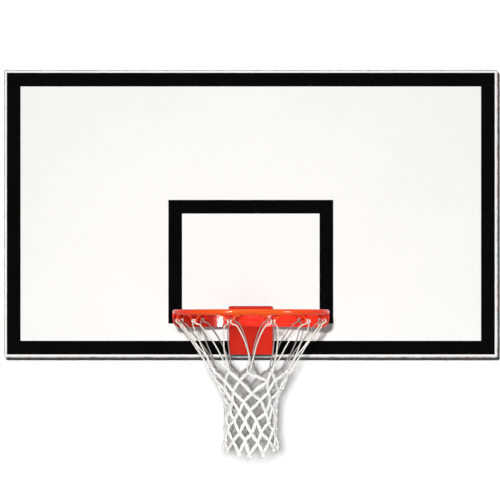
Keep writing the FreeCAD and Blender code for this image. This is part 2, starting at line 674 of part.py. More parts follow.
def return_springs():
    wire, radius, count = size("spring_wire"), size("spring_mean") / 2, int(size("spring_turns"))
    length = places.spring_end - places.spring_start
    end_pitch = wire + size("spring_close")
    step = 0.25
    marks = [step * index for index in range(int(count / step) + 1)]

    def spot(turns):
        return spring_point(turns, wire, radius, count, length, end_pitch)

    def way(turns):
        return (spot(turns + 0.02) - spot(turns - 0.02)).normalize()

    edges = []
    for turns in marks[:-1]:
        edges += biarc(spot(turns), way(turns), spot(turns + step), way(turns + step))
    coil = round_wire(edges, way(0), wire)
    samples = 24
    fine = [spot(index / samples) for index in range(samples * count + 1)]
    gap = min((fine[one] - fine[two]).Length for one in range(len(fine))
              for two in range(one + samples // 2, len(fine))) - wire
    print("spring: least gap to itself", round(gap, 2), "mm, length", round(length, 2), "mm")
    springs = []
    for side in (-1, 1):
        spring = coil.copy()
        spring.translate(Vector(side * size("spring_spread") / 2, places.base_y - places.spring_start,
                                places.ring_z - size("spring_drop")))
        springs.append(spring)
    shape = doc.addObject("Part::Feature", "return_springs")
    shape.Shape = Part.makeCompound(springs)


# Net hooks: wire feet along the ring with a dip that holds a loop of the net.
def rounded_path(points, bend):
    edges, last = [], points[0]
    for before, corner, after in zip(points, points[1:], points[2:]):
        arrive, leave = (corner - before).normalize(), (after - corner).normalize()
        turn = arrive.getAngle(leave)
        reach = bend * math.tan(turn / 2)
        start, end = corner - arrive * reach, corner + leave * reach
        inward = (leave - arrive).normalize()
        top = corner + inward * (reach * math.tan(turn / 4))
        edges += [Part.LineSegment(last, start).toShape(), Part.Arc(start, top, end).toShape()]
        last = end
    return edges + [Part.LineSegment(last, points[-1]).toShape()]


def hook_level():
    clear = (size("ring_rod") + size("hook_wire")) / 2
    foot_radius = math.hypot(places.ring_radius - size("hook_inset"), size("hook_foot") / 2)
    offset = min(0, foot_radius - places.ring_radius)
    return -math.sqrt(clear ** 2 - offset ** 2) - size("hook_seat")


def net_hooks():
    level, low = hook_level(), hook_level() - size("hook_drop")
    half_bar, half_mouth, half_foot = size("hook_bar") / 2, size("hook_mouth") / 2, size("hook_foot") / 2
    radius = places.ring_radius - size("hook_inset")
    side = [(half_foot, level), (half_mouth, level), (half_bar, low)]
    outline = [(-across, up) for across, up in side] + side[::-1]
    points = [Vector(across, -radius, up) for across, up in outline]
    one = round_wire(rounded_path(points, size("hook_bend")), along_x, size("hook_wire"))
    count = int(size("hook_count"))
    hooks = []
    for index in range(count):
        hook = one.copy()
        hook.rotate(Vector(), along_z, 360 * (index + 0.5) / count)
        hook.translate(Vector(0, places.ring_y, places.ring_z))
        hooks.append(hook)
    shape = doc.addObject("Part::Feature", "net_hooks")
    shape.Shape = Part.makeCompound(hooks)


# Net: six-sided cords with mitred bends, knotted where they cross.
def faceted_cord(points, radius, side, sides=6):
    way = (points[1] - points[0]).normalize()
    across = (side - way * side.dot(way)).normalize()
    up = way.cross(across)
    turns = [math.tau * step / sides for step in range(sides)]
    ends = [points[0] + across * (radius * math.cos(turn)) + up * (radius * math.sin(turn)) for turn in turns]
    faces = [Part.Face(Part.makePolygon(ends + ends[:1]))]
    for here, corner, after in zip(points, points[1:], points[2:] + [None]):
        way = (corner - here).normalize()
        normal = way + (after - corner).normalize() if after else way
        moved = [point + way * ((corner - point).dot(normal) / way.dot(normal)) for point in ends]
        for step in range(sides):
            follow = (step + 1) % sides
            faces.append(Part.Face(Part.makePolygon(
                [ends[step], ends[follow], moved[follow], moved[step], ends[step]])))
        ends = moved
    faces.append(Part.Face(Part.makePolygon(ends + ends[:1])))
    solid = Part.makeSolid(Part.makeShell(faces))
    return solid if solid.Volume > 0 else solid.reversed()


def net_radius(depth):
    mouth, waist = places.ring_radius - size("hook_inset"), size("net_waist")
    taper, length = size("net_taper"), size("net_first_row") + size("net_row") * (size("net_rows") - 1)
    if depth > taper:
        return waist + size("net_flare") * ((depth - taper) / (length - taper)) ** 2
    return waist + (mouth - waist) * (1 - depth / taper) ** size("net_bow")


def net_point(angle, depth, top, out=0.0):
    radius = net_radius(depth) + out
    return Vector(radius * math.sin(angle), -radius * math.cos(angle), top - depth)


STRAND_SHARES = (0.75, 0.5, 0.25, 0.1)


def net():
    count, rows = int(size("hook_count")), int(size("net_rows"))
    cord, pitch = size("net_cord") / 2, math.tau / int(size("hook_count"))
    top = hook_level() - size("hook_drop")
    around = size("hook_wire") / 2 + cord + size("net_seat")
    chamfer = around * math.tan(math.pi / 8)
    first = size("net_first_row")

    def knot_angle(row, column):
        return (column + 0.5 * (row % 2)) * pitch

    def knot(row, column):
        return net_point(knot_angle(row, column), first + row * size("net_row"), top)

    pieces = []
    for row in range(rows):
        for column in range(count):
            middle = knot(row, column)
            outward = Vector(middle.x, middle.y, 0)
            half = along_z * (size("knot_height") / 2)
            foot = along_z * size("tip_drop") if row == rows - 1 else half
            pieces.append(faceted_cord([middle - foot, middle + half], size("knot_width") / 2, outward))
            if row < rows - 1:
                for neighbour in (column, column + 1) if row % 2 else (column - 1, column):
                    pieces.append(faceted_cord([middle, knot(row + 1, neighbour)], cord, outward))
    for column in range(count):
        hook_angle = (column + 0.5) * pitch
        outward = Vector(math.sin(hook_angle), -math.cos(hook_angle), 0)
        sideways = along_z.cross(outward)
        bar = net_point(hook_angle, 0, top)
        left, right = [], []
        for strand, end_angle in ((left, column * pitch), (right, (column + 1) * pitch)):
            strand.append(net_point(end_angle, first, top))
            for share in STRAND_SHARES:
                angle = hook_angle + (end_angle - hook_angle) * math.sqrt(share)
                strand.append(net_point(angle, first * share, top))
        lean = sideways * (-size("net_spread") / 2)
        over = [outward * around - along_z * cord + lean, outward * around + along_z * chamfer + lean * 0.5,
                outward * chamfer + along_z * around + lean * 0.25]
        back = [Vector(-spot.x, -spot.y, spot.z) for spot in over]
        loop = left + [bar + spot for spot in over + back[::-1]] + right[::-1]
        pieces.append(faceted_cord(loop, cord, outward))
    shape = doc.addObject("Part::Feature", "net")
    shape.Shape = pieces[0].multiFuse(pieces[1:])
    shape.Placement = FreeCAD.Placement(Vector(0, places.ring_y, places.ring_z), FreeCAD.Rotation())


board_panel()
margin = "Sizes.border_margin"
line_frame("border_line", f"(Sizes.board_width / 2 - {margin})",
           f"({margin} - Sizes.board_height / 2)", f"(Sizes.board_height / 2 - {margin})")
line_frame("target_line", "(Sizes.target_width / 2)", "Places.target_z",
           "(Places.target_z + Sizes.target_height)")
for name, sign in SIDES:
    upright(f"{name}_upright", sign)
    rim_post(f"{name}_rim_post", sign)
cross_rail("upper_cross_rail", "1")
cross_rail("lower_cross_rail", "-1")
rim_backing_plate()
base_bracket()
rim_fasteners()
hinge_pin()
pin_clips()
spring_seats("spring_posts", "Places.base_y - Sizes.base_sheet", "-1")
return_springs()
stop_pads()
ring_rod = ring()
wrap_brace(ring_rod)
neck_channel()
carrier()
hinge_bushes()
spring_seats("spring_cups", "Places.base_y - Sizes.carrier_depth + Sizes.carrier_sheet", "1")
net_hooks()
net()
doc.recompute()

NODES = [
    "board_panel", "border_line", "target_line", "left_upright", "right_upright", "upper_cross_rail",
    "lower_cross_rail", "left_rim_post", "right_rim_post", "rim_backing_plate", "base_bracket",
    "rim_bolts", "rim_washers", "rim_nuts", "hinge_pin", "pin_clips", "spring_posts", "return_springs",
    "stop_pads", "ring", "wrap_brace", "neck_channel", "carrier", "hinge_bushes", "spring_cups",
    "net_hooks", "net",
]
for item in doc.Objects:
    if "Invalid" in item.State or "Error" in item.State:
        raise RuntimeError(f"{item.Label} failed: {item.State}")
for label in NODES:
    solid_shape = doc.getObjectsByLabel(label)[0].Shape
    if solid_shape.isNull() or not solid_shape.isValid():
        raise RuntimeError(f"{label} has no valid shape")
for label in NODES:
    solid_shape = doc.getObjectsByLabel(label)[0].Shape
    solid_shape.exportStep(f"parts/{label}.step")
    print(label, len(solid_shape.Solids), "solids", round(solid_shape.Volume / 1000, 1), "cm3")
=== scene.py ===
import json
import math
import random

import bmesh
import bpy
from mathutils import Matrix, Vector


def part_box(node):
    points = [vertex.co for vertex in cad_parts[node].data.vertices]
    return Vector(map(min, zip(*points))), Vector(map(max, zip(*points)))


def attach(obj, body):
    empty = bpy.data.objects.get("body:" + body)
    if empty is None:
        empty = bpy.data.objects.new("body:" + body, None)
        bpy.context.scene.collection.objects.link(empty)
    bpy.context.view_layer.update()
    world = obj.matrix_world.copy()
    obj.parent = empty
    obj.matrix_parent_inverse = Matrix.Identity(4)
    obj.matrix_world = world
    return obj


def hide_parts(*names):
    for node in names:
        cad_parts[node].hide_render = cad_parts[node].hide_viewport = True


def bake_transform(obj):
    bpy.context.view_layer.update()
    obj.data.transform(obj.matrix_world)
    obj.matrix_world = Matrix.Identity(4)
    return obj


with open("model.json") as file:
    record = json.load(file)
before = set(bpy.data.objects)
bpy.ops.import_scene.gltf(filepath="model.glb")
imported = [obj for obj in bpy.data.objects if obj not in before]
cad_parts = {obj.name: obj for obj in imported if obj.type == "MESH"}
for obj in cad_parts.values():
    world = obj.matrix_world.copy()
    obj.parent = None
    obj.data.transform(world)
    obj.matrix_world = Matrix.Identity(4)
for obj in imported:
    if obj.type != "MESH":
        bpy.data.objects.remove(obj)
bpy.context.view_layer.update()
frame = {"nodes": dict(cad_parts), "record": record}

nodes = frame["nodes"]
scene = bpy.context.scene
scene.view_settings.view_transform = "Standard"

# places read from the frame
ringLow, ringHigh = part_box("ring")
ringMiddle = (ringLow + ringHigh) / 2
rodRadius = (ringHigh.z - ringLow.z) / 2
ringRadius = (ringHigh.x - ringLow.x) / 2 - rodRadius
boardLow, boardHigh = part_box("board_panel")
faceY = boardLow.y


# camera: level with the ring, square to the board
cameraPlan = {"distance": 2.5, "lens": 48.7, "shiftY": 0.124, "aside": -0.003}


def addCamera(plan):
    camera = bpy.data.objects.new("photoCamera", bpy.data.cameras.new("photoCamera"))
    camera.data.lens = plan["lens"]
    camera.data.shift_y = plan["shiftY"]
    camera.data.clip_start = 0.05
    camera.location = (plan["aside"], faceY - plan["distance"], ringMiddle.z)
    camera.rotation_euler = (math.pi / 2, 0, 0)
    scene.collection.objects.link(camera)
    scene.camera = camera
    return camera


camera = addCamera(cameraPlan)
print("camera set at", [round(value, 3) for value in camera.location])


# node helpers, used by materials and by geometry trees
def addNode(tree, kind, links=None, **settings):
    node = tree.nodes.new(kind)
    for key, value in settings.items():
        setattr(node, key, value)
    for socket, source in (links or {}).items():
        if isinstance(source, bpy.types.NodeSocket):
            tree.links.new(source, node.inputs[socket])
        else:
            node.inputs[socket].default_value = source
    return node


def addMath(tree, operation, first, second=0.0, clamp=False):
    node = addNode(tree, "ShaderNodeMath", {0: first, 1: second}, operation=operation, use_clamp=clamp)
    return node.outputs[0]


def spreadValue(tree, source, low, high, start=0.3, end=0.7):
    return addNode(tree, "ShaderNodeMapRange", {0: source, 1: start, 2: end, 3: low, 4: high}).outputs[0]


def startGroup(name, inputs, outputs):
    group = bpy.data.node_groups.new(name, "ShaderNodeTree")
    for label, value in inputs.items():
        socket = group.interface.new_socket(label, in_out="INPUT", socket_type="NodeSocketFloat")
        socket.default_value = value
    for label in outputs:
        group.interface.new_socket(label, in_out="OUTPUT", socket_type="NodeSocketFloat")
    return group, group.nodes.new("NodeGroupInput").outputs, group.nodes.new("NodeGroupOutput").inputs


def objectCoords(tree):
    return addNode(tree, "ShaderNodeTexCoord").outputs["Object"]


def addNoise(tree, scale, detail, spot=None):
    if spot is None:
        spot = objectCoords(tree)
    return addNode(tree, "ShaderNodeTexNoise", {"Vector": spot, "Scale": scale, "Detail": detail}).outputs[0]


# orange peel of a sprayed or powder coat, as a height
def makeCoatPeel():
    group, given, result = startGroup("coatPeel", {"Scale": 400.0}, ["Height"])
    coords = objectCoords(group)
    cells = addNode(group, "ShaderNodeTexVoronoi",
                    {"Vector": coords, "Scale": given["Scale"], "Smoothness": 1.0}, feature="SMOOTH_F1")
    swell = addNoise(group, given["Scale"], 2.0, coords)
    group.links.new(addMath(group, "ADD", cells.outputs["Distance"], swell), result["Height"])
    return group


# slow drift of tone over a surface, from 0 to 1
def makeToneDrift():
    group, given, result = startGroup("toneDrift", {"Scale": 3.0, "Grit": 60.0}, ["Drift"])
    broad = addMath(group, "MULTIPLY", addNoise(group, given["Scale"], 3.0), 0.65)
    fine = addMath(group, "MULTIPLY", addNoise(group, given["Grit"], 4.0), 0.35)
    group.links.new(addMath(group, "ADD", broad, fine), result["Drift"])
    return group


# rubbed edges: where the bevelled normal leaves the surface's own
def makeEdgeRub():
    group, given, result = startGroup("edgeRub", {"Radius": 0.002, "Amount": 1.0, "Grit": 250.0}, ["Mask"])
    bevel = addNode(group, "ShaderNodeBevel", {"Radius": given["Radius"]}, samples=4)
    surface = addNode(group, "ShaderNodeNewGeometry")
    match = addNode(group, "ShaderNodeVectorMath", {0: bevel.outputs[0], 1: surface.outputs["Normal"]},
                    operation="DOT_PRODUCT")
    turned = spreadValue(group, match.outputs["Value"], 0.0, 1.0, 0.985, 0.80)
    broken = spreadValue(group, addNoise(group, given["Grit"], 5.0), 0.0, 1.0, 0.42, 0.72)
    rubbed = addMath(group, "MULTIPLY", turned, broken)
    group.links.new(addMath(group, "MULTIPLY", rubbed, given["Amount"], clamp=True), result["Mask"])
    return group


coatPeel, toneDrift, edgeRub = makeCoatPeel(), makeToneDrift(), makeEdgeRub()


def useGroup(tree, group, **values):
    node = addNode(tree, "ShaderNodeGroup", node_tree=group)
    for label, value in values.items():
        node.inputs[label].default_value = value
    return node.outputs[0]


def startMaterial(name):
    material = bpy.data.materials.new(name)
    material.use_nodes = True
    return material, material.node_tree, material.node_tree.nodes["Principled BSDF"]


def mixColours(tree, share, first, second):
    mix = addNode(tree, "ShaderNodeMix", data_type="RGBA")
    for index, source in ((0, share), (6, first), (7, second)):
        if isinstance(source, bpy.types.NodeSocket):
            tree.links.new(source, mix.inputs[index])
        else:
            mix.inputs[index].default_value = source if index == 0 else (*source, 1.0)
    return mix.outputs[2]


def addBump(tree, shader, height, strength, distance):
    bump = addNode(tree, "ShaderNodeBump", {"Height": height})
    bump.inputs["Strength"].default_value = strength
    bump.inputs["Distance"].default_value = distance
    tree.links.new(bump.outputs[0], shader.inputs["Normal"])


# powder-coated steel
coatPlans = {
    "framePaint": {"base": (0.80, 0.80, 0.78), "shade": (0.70, 0.70, 0.67), "bare": (0.38, 0.37, 0.35),
                   "rough": (0.40, 0.60), "peel": 420.0, "peelStrength": 0.16, "wear": 0.7, "specular": 0.4},
    "ringCoat": {"base": (0.82, 0.034, 0.010), "shade": (0.78, 0.031, 0.010), "bare": (0.36, 0.03, 0.01),
                 "rough": (0.09, 0.14), "peel": 520.0, "peelStrength": 0.03, "wear": 0.4, "specular": 0.055,
                 # painted light: a lighter orange for the front of the ring, fading out over this depth
                 "faded": (0.84, 0.095, 0.010), "fadeDepth": 0.11},
    "bandCoat": {"base": (0.86, 0.034, 0.015), "shade": (0.80, 0.028, 0.014), "bare": (0.30, 0.02, 0.01),
                 "rough": (0.09, 0.15), "peel": 520.0, "peelStrength": 0.04, "wear": 0.5, "specular": 0.10},
}


def coatFinish(name, plan):
    material, tree, shader = startMaterial(name)
    drift = useGroup(tree, toneDrift, Scale=4.0, Grit=90.0)
    rub = useGroup(tree, edgeRub, Radius=0.0025, Amount=plan["wear"], Grit=320.0)
    tone = mixColours(tree, spreadValue(tree, drift, 0.0, 1.0), plan["base"], plan["shade"])
    if "faded" in plan:  # painted light: the front of the ring is painted a lighter orange, as if lit more strongly there
        depth = addNode(tree, "ShaderNodeSeparateXYZ", {0: objectCoords(tree)}).outputs["Y"]
        fade = spreadValue(tree, depth, 1.0, 0.0, ringLow.y, ringLow.y + plan["fadeDepth"])
        tone = mixColours(tree, fade, tone, plan["faded"])
    tree.links.new(mixColours(tree, rub, tone, plan["bare"]), shader.inputs["Base Color"])
    tree.links.new(spreadValue(tree, drift, *plan["rough"]), shader.inputs["Roughness"])
    peel = useGroup(tree, coatPeel, Scale=plan["peel"])
    addBump(tree, shader, peel, plan["peelStrength"], distance=0.0004)
    shader.inputs["Specular IOR Level"].default_value = plan["specular"]
    return material


# white panel, its coat rubbed to grey steel along the outer bend, with rust in places; the bend's grey is
# made darker than bare steel, as painted shade that outlines the board
panelPlan = {"base": (0.87, 0.87, 0.855), "shade": (0.845, 0.845, 0.825), "bare": (0.11, 0.11, 0.108),
             "rust": (0.20, 0.075, 0.055), "rough": (0.44, 0.54), "edge": 0.0064, "specular": 0.3,
             "grit": 45.0, "patch": 9.0, "peel": 420.0, "peelStrength": 0.12}


def panelFinish(name, plan):
    material, tree, shader = startMaterial(name)
    drift = useGroup(tree, toneDrift, Scale=3.0, Grit=70.0)
    tone = mixColours(tree, spreadValue(tree, drift, 0.0, 1.0), plan["base"], plan["shade"])
    spot = addNode(tree, "ShaderNodeSeparateXYZ", {0: objectCoords(tree)}).outputs
    past = [addMath(tree, "SUBTRACT", addMath(tree, "ABSOLUTE", spot[axis]), half - plan["edge"])
            for axis, half in (("X", boardHigh.x), ("Z", boardHigh.z))]
    outer = spreadValue(tree, addMath(tree, "MAXIMUM", *past), 0.0, 1.0, 0.0, 0.5 * plan["edge"])
    front = spreadValue(tree, spot["Y"], 1.0, 0.0, faceY + 0.6 * plan["edge"], faceY + 1.2 * plan["edge"])
    bend = addMath(tree, "MULTIPLY", outer, front)
    grit = addNoise(tree, plan["grit"], 5.0)
    rub = addMath(tree, "MULTIPLY", bend, spreadValue(tree, grit, 0.45, 1.0))
    rusted = spreadValue(tree, addNoise(tree, plan["patch"], 2.0), 0.0, 1.0, 0.5, 0.6)
    # the edge colour is real wear and rust, and its dark grey is also painted shade along the board's outline
    wearAndPaintedShade = mixColours(tree, rusted, plan["bare"], plan["rust"])
    tree.links.new(mixColours(tree, rub, tone, wearAndPaintedShade), shader.inputs["Base Color"])
    tree.links.new(spreadValue(tree, drift, *plan["rough"]), shader.inputs["Roughness"])
    peel = useGroup(tree, coatPeel, Scale=plan["peel"])
    addBump(tree, shader, peel, plan["peelStrength"], distance=0.0004)
    shader.inputs["Specular IOR Level"].default_value = plan["specular"]
    return material


# black film of the lines
filmPlan = {"base": (0.0012, 0.0012, 0.0014), "shade": (0.0022, 0.0022, 0.0024), "rough": (0.5, 0.66),
            "peel": 420.0, "peelStrength": 0.10, "specular": 0.02}


def filmFinish(name, plan):
    material, tree, shader = startMaterial(name)
    drift = useGroup(tree, toneDrift, Scale=6.0, Grit=140.0)
    tone = mixColours(tree, spreadValue(tree, drift, 0.0, 1.0), plan["base"], plan["shade"])
    tree.links.new(tone, shader.inputs["Base Color"])
    tree.links.new(spreadValue(tree, drift, *plan["rough"]), shader.inputs["Roughness"])
    peel = useGroup(tree, coatPeel, Scale=plan["peel"])
    addBump(tree, shader, peel, plan["peelStrength"], distance=0.0004)
    shader.inputs["Specular IOR Level"].default_value = plan["specular"]
    return material


# zinc plate, a darker zinc as painted shade, ground steel and oiled spring wire
metalPlans = {
    "zincPlate": {"base": (0.52, 0.55, 0.58), "shade": (0.36, 0.40, 0.44), "rough": (0.28, 0.46),
                  "grain": (60.0, 60.0, 60.0), "bump": 0.08},
    # painted shade: a darker copy of the zinc plate, for the base bracket's lip in the carrier's shade
    "paintedShadeZinc": {"base": (0.13, 0.18, 0.20), "shade": (0.09, 0.125, 0.14), "rough": (0.34, 0.5),
                 "grain": (60.0, 60.0, 60.0), "bump": 0.08},
    "brightSteel": {"base": (0.62, 0.61, 0.60), "shade": (0.46, 0.45, 0.44), "rough": (0.16, 0.34),
                    "grain": (2600.0, 30.0, 30.0), "bump": 0.12},
    "springSteel": {"base": (0.10, 0.10, 0.11), "shade": (0.055, 0.05, 0.046), "rough": (0.26, 0.44),
                    "grain": (300.0, 300.0, 300.0), "bump": 0.10},
}


def metalFinish(name, plan):
    material, tree, shader = startMaterial(name)
    mapped = addNode(tree, "ShaderNodeMapping", {"Vector": objectCoords(tree), "Scale": plan["grain"]})
    grain = addNoise(tree, 1.0, 4.0, mapped.outputs[0])
    drift = useGroup(tree, toneDrift, Scale=25.0, Grit=420.0)
    rub = useGroup(tree, edgeRub, Radius=0.0012, Amount=0.6, Grit=500.0)
    tone = mixColours(tree, spreadValue(tree, grain, 0.0, 1.0), plan["base"], plan["shade"])
    bright = tuple(min(0.9, 1.5 * value) for value in plan["base"])  # polished along the edges
    tree.links.new(mixColours(tree, rub, tone, bright), shader.inputs["Base Color"])
    tree.links.new(spreadValue(tree, drift, *plan["rough"]), shader.inputs["Roughness"])
    addBump(tree, shader, grain, plan["bump"], distance=0.0003)
    shader.inputs["Metallic"].default_value = 1.0
    return material


# rubber stops and nylon bushes
mouldPlans = {
    "padRubber": {"base": (0.022, 0.022, 0.023), "shade": (0.045, 0.044, 0.042), "rough": (0.68, 0.88)},
    "bushPlastic": {"base": (0.74, 0.72, 0.64), "shade": (0.62, 0.60, 0.52), "rough": (0.36, 0.52)},
}


def mouldFinish(name, plan):
    material, tree, shader = startMaterial(name)
    drift = useGroup(tree, toneDrift, Scale=40.0, Grit=900.0)
    tone = mixColours(tree, spreadValue(tree, drift, 0.0, 1.0), plan["base"], plan["shade"])
    tree.links.new(tone, shader.inputs["Base Color"])
    tree.links.new(spreadValue(tree, drift, *plan["rough"]), shader.inputs["Roughness"])
    addBump(tree, shader, useGroup(tree, coatPeel, Scale=1400.0), strength=0.2, distance=0.0003)
    return material


# white cord: fibres follow the cord by its own attribute, ivory towards the hooks
cordPlan = {"white": (0.95, 0.948, 0.94), "ivory": (0.84, 0.77, 0.60), "fold": (0.66, 0.63, 0.57),
            "rough": (0.72, 0.92), "ivoryDepth": 0.16, "ivoryShare": 0.85, "foldShare": 0.22,
            "fibre": (500.0, 2200.0, 2200.0), "sheen": 0.15, "specular": 0.2}


def cordFinish(name, plan, top, bottom):
    material, tree, shader = startMaterial(name)
    follow = addNode(tree, "ShaderNodeAttribute", attribute_name="cordSpace").outputs["Vector"]
    fibreMap = addNode(tree, "ShaderNodeMapping", {"Vector": follow, "Scale": plan["fibre"]})
    fibres = addNoise(tree, 1.0, 3.0, fibreMap.outputs[0])
    height = addNode(tree, "ShaderNodeSeparateXYZ", {0: objectCoords(tree)}).outputs["Z"]
    rise = spreadValue(tree, height, 0.0, plan["ivoryShare"], bottom, top)
    drift = useGroup(tree, toneDrift, Scale=30.0, Grit=300.0)
    age = addMath(tree, "MULTIPLY", rise, spreadValue(tree, drift, 0.5, 1.0))
    tone = mixColours(tree, age, plan["white"], plan["ivory"])
    folded = spreadValue(tree, fibres, plan["foldShare"], 0.0)
    tree.links.new(mixColours(tree, folded, tone, plan["fold"]), shader.inputs["Base Color"])
    tree.links.new(spreadValue(tree, fibres, *plan["rough"]), shader.inputs["Roughness"])
    addBump(tree, shader, fibres, strength=0.5, distance=0.0004)
    shader.inputs["Sheen Weight"].default_value = plan["sheen"]
    shader.inputs["Specular IOR Level"].default_value = plan["specular"]
    return material


finishes = {name: coatFinish(name, plan) for name, plan in coatPlans.items()}
finishes.update({name: metalFinish(name, plan) for name, plan in metalPlans.items()})
finishes.update({name: mouldFinish(name, plan) for name, plan in mouldPlans.items()})
finishes["boardWhite"] = panelFinish("boardWhite", panelPlan)
finishes["lineBlack"] = filmFinish("lineBlack", filmPlan)
netLow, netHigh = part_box("net")
finishes["netCord"] = cordFinish("netCord", cordPlan, netHigh.z, netHigh.z - cordPlan["ivoryDepth"])

slotFinish = {
    "board_white": "boardWhite", "line_black": "lineBlack", "frame_paint": "framePaint",
    "zinc_plate": "zincPlate", "bright_steel": "brightSteel", "spring_steel": "springSteel",
    "pad_rubber": "padRubber", "rim_orange": "bandCoat", "bush_plastic": "bushPlastic", "net_cord": "netCord",
}
# the ring and hooks take the coat with the painted lit front; the base bracket takes the zinc darkened as
# painted shade
nodeFinish = {"ring": "ringCoat", "net_hooks": "ringCoat", "base_bracket": "paintedShadeZinc"}


def dressNodes():
    for part in frame["record"]["subparts"]:
        mesh = nodes[part["node"]].data
        mesh.materials.clear()
        wanted = nodeFinish.get(part["node"], slotFinish[part["material_slot"]])
        mesh.materials.append(finishes[wanted])


dressNodes()
print("finishes on", len(nodes), "CAD nodes")


# geometry trees
def startTree(name, inputs):
    tree = bpy.data.node_groups.new(name, "GeometryNodeTree")
    tree.interface.new_socket("Geometry", in_out="INPUT", socket_type="NodeSocketGeometry")
    for label, (kind, value) in inputs.items():
        socket = tree.interface.new_socket(label, in_out="INPUT", socket_type=f"NodeSocket{kind}")
        if value is not None:
            socket.default_value = value
    tree.interface.new_socket("Geometry", in_out="OUTPUT", socket_type="NodeSocketGeometry")
    return tree, tree.nodes.new("NodeGroupInput").outputs, tree.nodes.new("NodeGroupOutput").inputs


def endTree(tree, geometry, given, result):
    real = addNode(tree, "GeometryNodeRealizeInstances", {0: geometry})
    smooth = addNode(tree, "GeometryNodeSetShadeSmooth", {0: real.outputs[0]})
    if "Smooth" in given:
        tree.links.new(given["Smooth"], smooth.inputs["Shade Smooth"])
    dressed = addNode(tree, "GeometryNodeSetMaterial",
                      {"Geometry": smooth.outputs[0], "Material": given["Material"]})
    tree.links.new(dressed.outputs[0], result["Geometry"])
    return tree


def evenCurve(tree, given):
    links = {"Curve": given["Geometry"], "Length": given["Step"]}
    return addNode(tree, "GeometryNodeResampleCurve", links, mode="LENGTH").outputs[0]


def roundSection(tree, given):
    links = {"Resolution": given["Sides"], "Radius": given["Radius"]}
    return addNode(tree, "GeometryNodeCurvePrimitiveCircle", links, mode="RADIUS").outputs[0]


def unevenScale(tree, given):
    links = {2: given["Smallest"], 3: given["Largest"], "Seed": given["Seed"]}
    return addNode(tree, "FunctionNodeRandomValue", links, data_type="FLOAT").outputs[1]


# a laid cord of three plies along a curve
def makeLaidCord():
    tree, given, result = startTree("laidCord", {
        "Radius": ("Float", 0.0025), "Lay": ("Float", 0.014), "Step": ("Float", 0.0018), "Sides": ("Int", 9),
        "Ply depth": ("Float", 0.14), "Material": ("Material", None)})
    along = addNode(tree, "GeometryNodeSplineParameter").outputs["Length"]
    turns = addMath(tree, "DIVIDE", along, given["Lay"])
    tilted = addNode(tree, "GeometryNodeSetCurveTilt",
                     {"Curve": evenCurve(tree, given), "Tilt": addMath(tree, "MULTIPLY", turns, math.tau)})
    keepAlong = addNode(tree, "GeometryNodeCaptureAttribute", {0: tilted.outputs[0]}, domain="POINT")
    keepAlong.capture_items.new("FLOAT", "along")
    tree.links.new(along, keepAlong.inputs[1])
    spot = addNode(tree, "GeometryNodeInputPosition").outputs[0]
    parts = addNode(tree, "ShaderNodeSeparateXYZ", {0: spot}).outputs
    turn = addMath(tree, "ARCTAN2", parts["Y"], parts["X"])
    ply = addMath(tree, "COSINE", addMath(tree, "MULTIPLY", turn, 3.0))
    swell = addMath(tree, "ADD", addMath(tree, "MULTIPLY", ply, given["Ply depth"]), 1.0)
    lobed = addNode(tree, "ShaderNodeVectorMath", {0: spot, "Scale": swell}, operation="SCALE")
    section = addNode(tree, "GeometryNodeSetPosition",
                      {"Geometry": roundSection(tree, given), "Position": lobed.outputs[0]})
    keepSpot = addNode(tree, "GeometryNodeCaptureAttribute", {0: section.outputs[0]}, domain="POINT")
    keepSpot.capture_items.new("VECTOR", "spot")
    tree.links.new(spot, keepSpot.inputs[1])
    tube = addNode(tree, "GeometryNodeCurveToMesh",
                   {"Curve": keepAlong.outputs[0], "Profile Curve": keepSpot.outputs[0], "Fill Caps": True})
    across = addNode(tree, "ShaderNodeSeparateXYZ", {0: keepSpot.outputs[1]}).outputs
    space = addNode(tree, "ShaderNodeCombineXYZ",
                    {"X": keepAlong.outputs[1], "Y": across["X"], "Z": across["Y"]})
    stored = addNode(tree, "GeometryNodeStoreNamedAttribute",
                     {"Geometry": tube.outputs[0], "Name": "cordSpace", "Value": space.outputs[0]},
                     data_type="FLOAT_VECTOR", domain="POINT")
    return endTree(tree, stored.outputs[0], given, result)


# copies of one mesh on points, each turned by the point's own attribute
def makeCopies():
    tree, given, result = startTree("copies", {
        "Copy": ("Object", None), "Smallest": ("Float", 1.0), "Largest": ("Float", 1.0), "Seed": ("Int", 1),
        "Smooth": ("Bool", True), "Material": ("Material", None)})
    source = addNode(tree, "GeometryNodeObjectInfo", {"Object": given["Copy"], "As Instance": True},
                     transform_space="ORIGINAL")
    turn = addNode(tree, "GeometryNodeInputNamedAttribute", {"Name": "turn"}, data_type="FLOAT_VECTOR")
    spin = addNode(tree, "FunctionNodeEulerToRotation", {0: turn.outputs["Attribute"]})
    placed = addNode(tree, "GeometryNodeInstanceOnPoints",
                     {"Points": given["Geometry"], "Instance": source.outputs["Geometry"],
                      "Rotation": spin.outputs[0], "Scale": unevenScale(tree, given)})
    return endTree(tree, placed.outputs[0], given, result)


# a rippled weld bead along a curve
def makeWeldBead():
    tree, given, result = startTree("weldBead", {
        "Step": ("Float", 0.0026), "Radius": ("Float", 0.0024), "Smallest": ("Float", 0.86),
        "Largest": ("Float", 1.1), "Seed": ("Int", 3), "Material": ("Material", None)})
    points = addNode(tree, "GeometryNodeCurveToPoints", {"Curve": given["Geometry"], "Length": given["Step"]},
                     mode="LENGTH")
    ripple = addNode(tree, "GeometryNodeMeshUVSphere", {"Radius": given["Radius"], "Segments": 8, "Rings": 5})
    placed = addNode(tree, "GeometryNodeInstanceOnPoints",
                     {"Points": points.outputs["Points"], "Instance": ripple.outputs["Mesh"],
                      "Rotation": points.outputs["Rotation"], "Scale": unevenScale(tree, given)})
    return endTree(tree, placed.outputs[0], given, result)


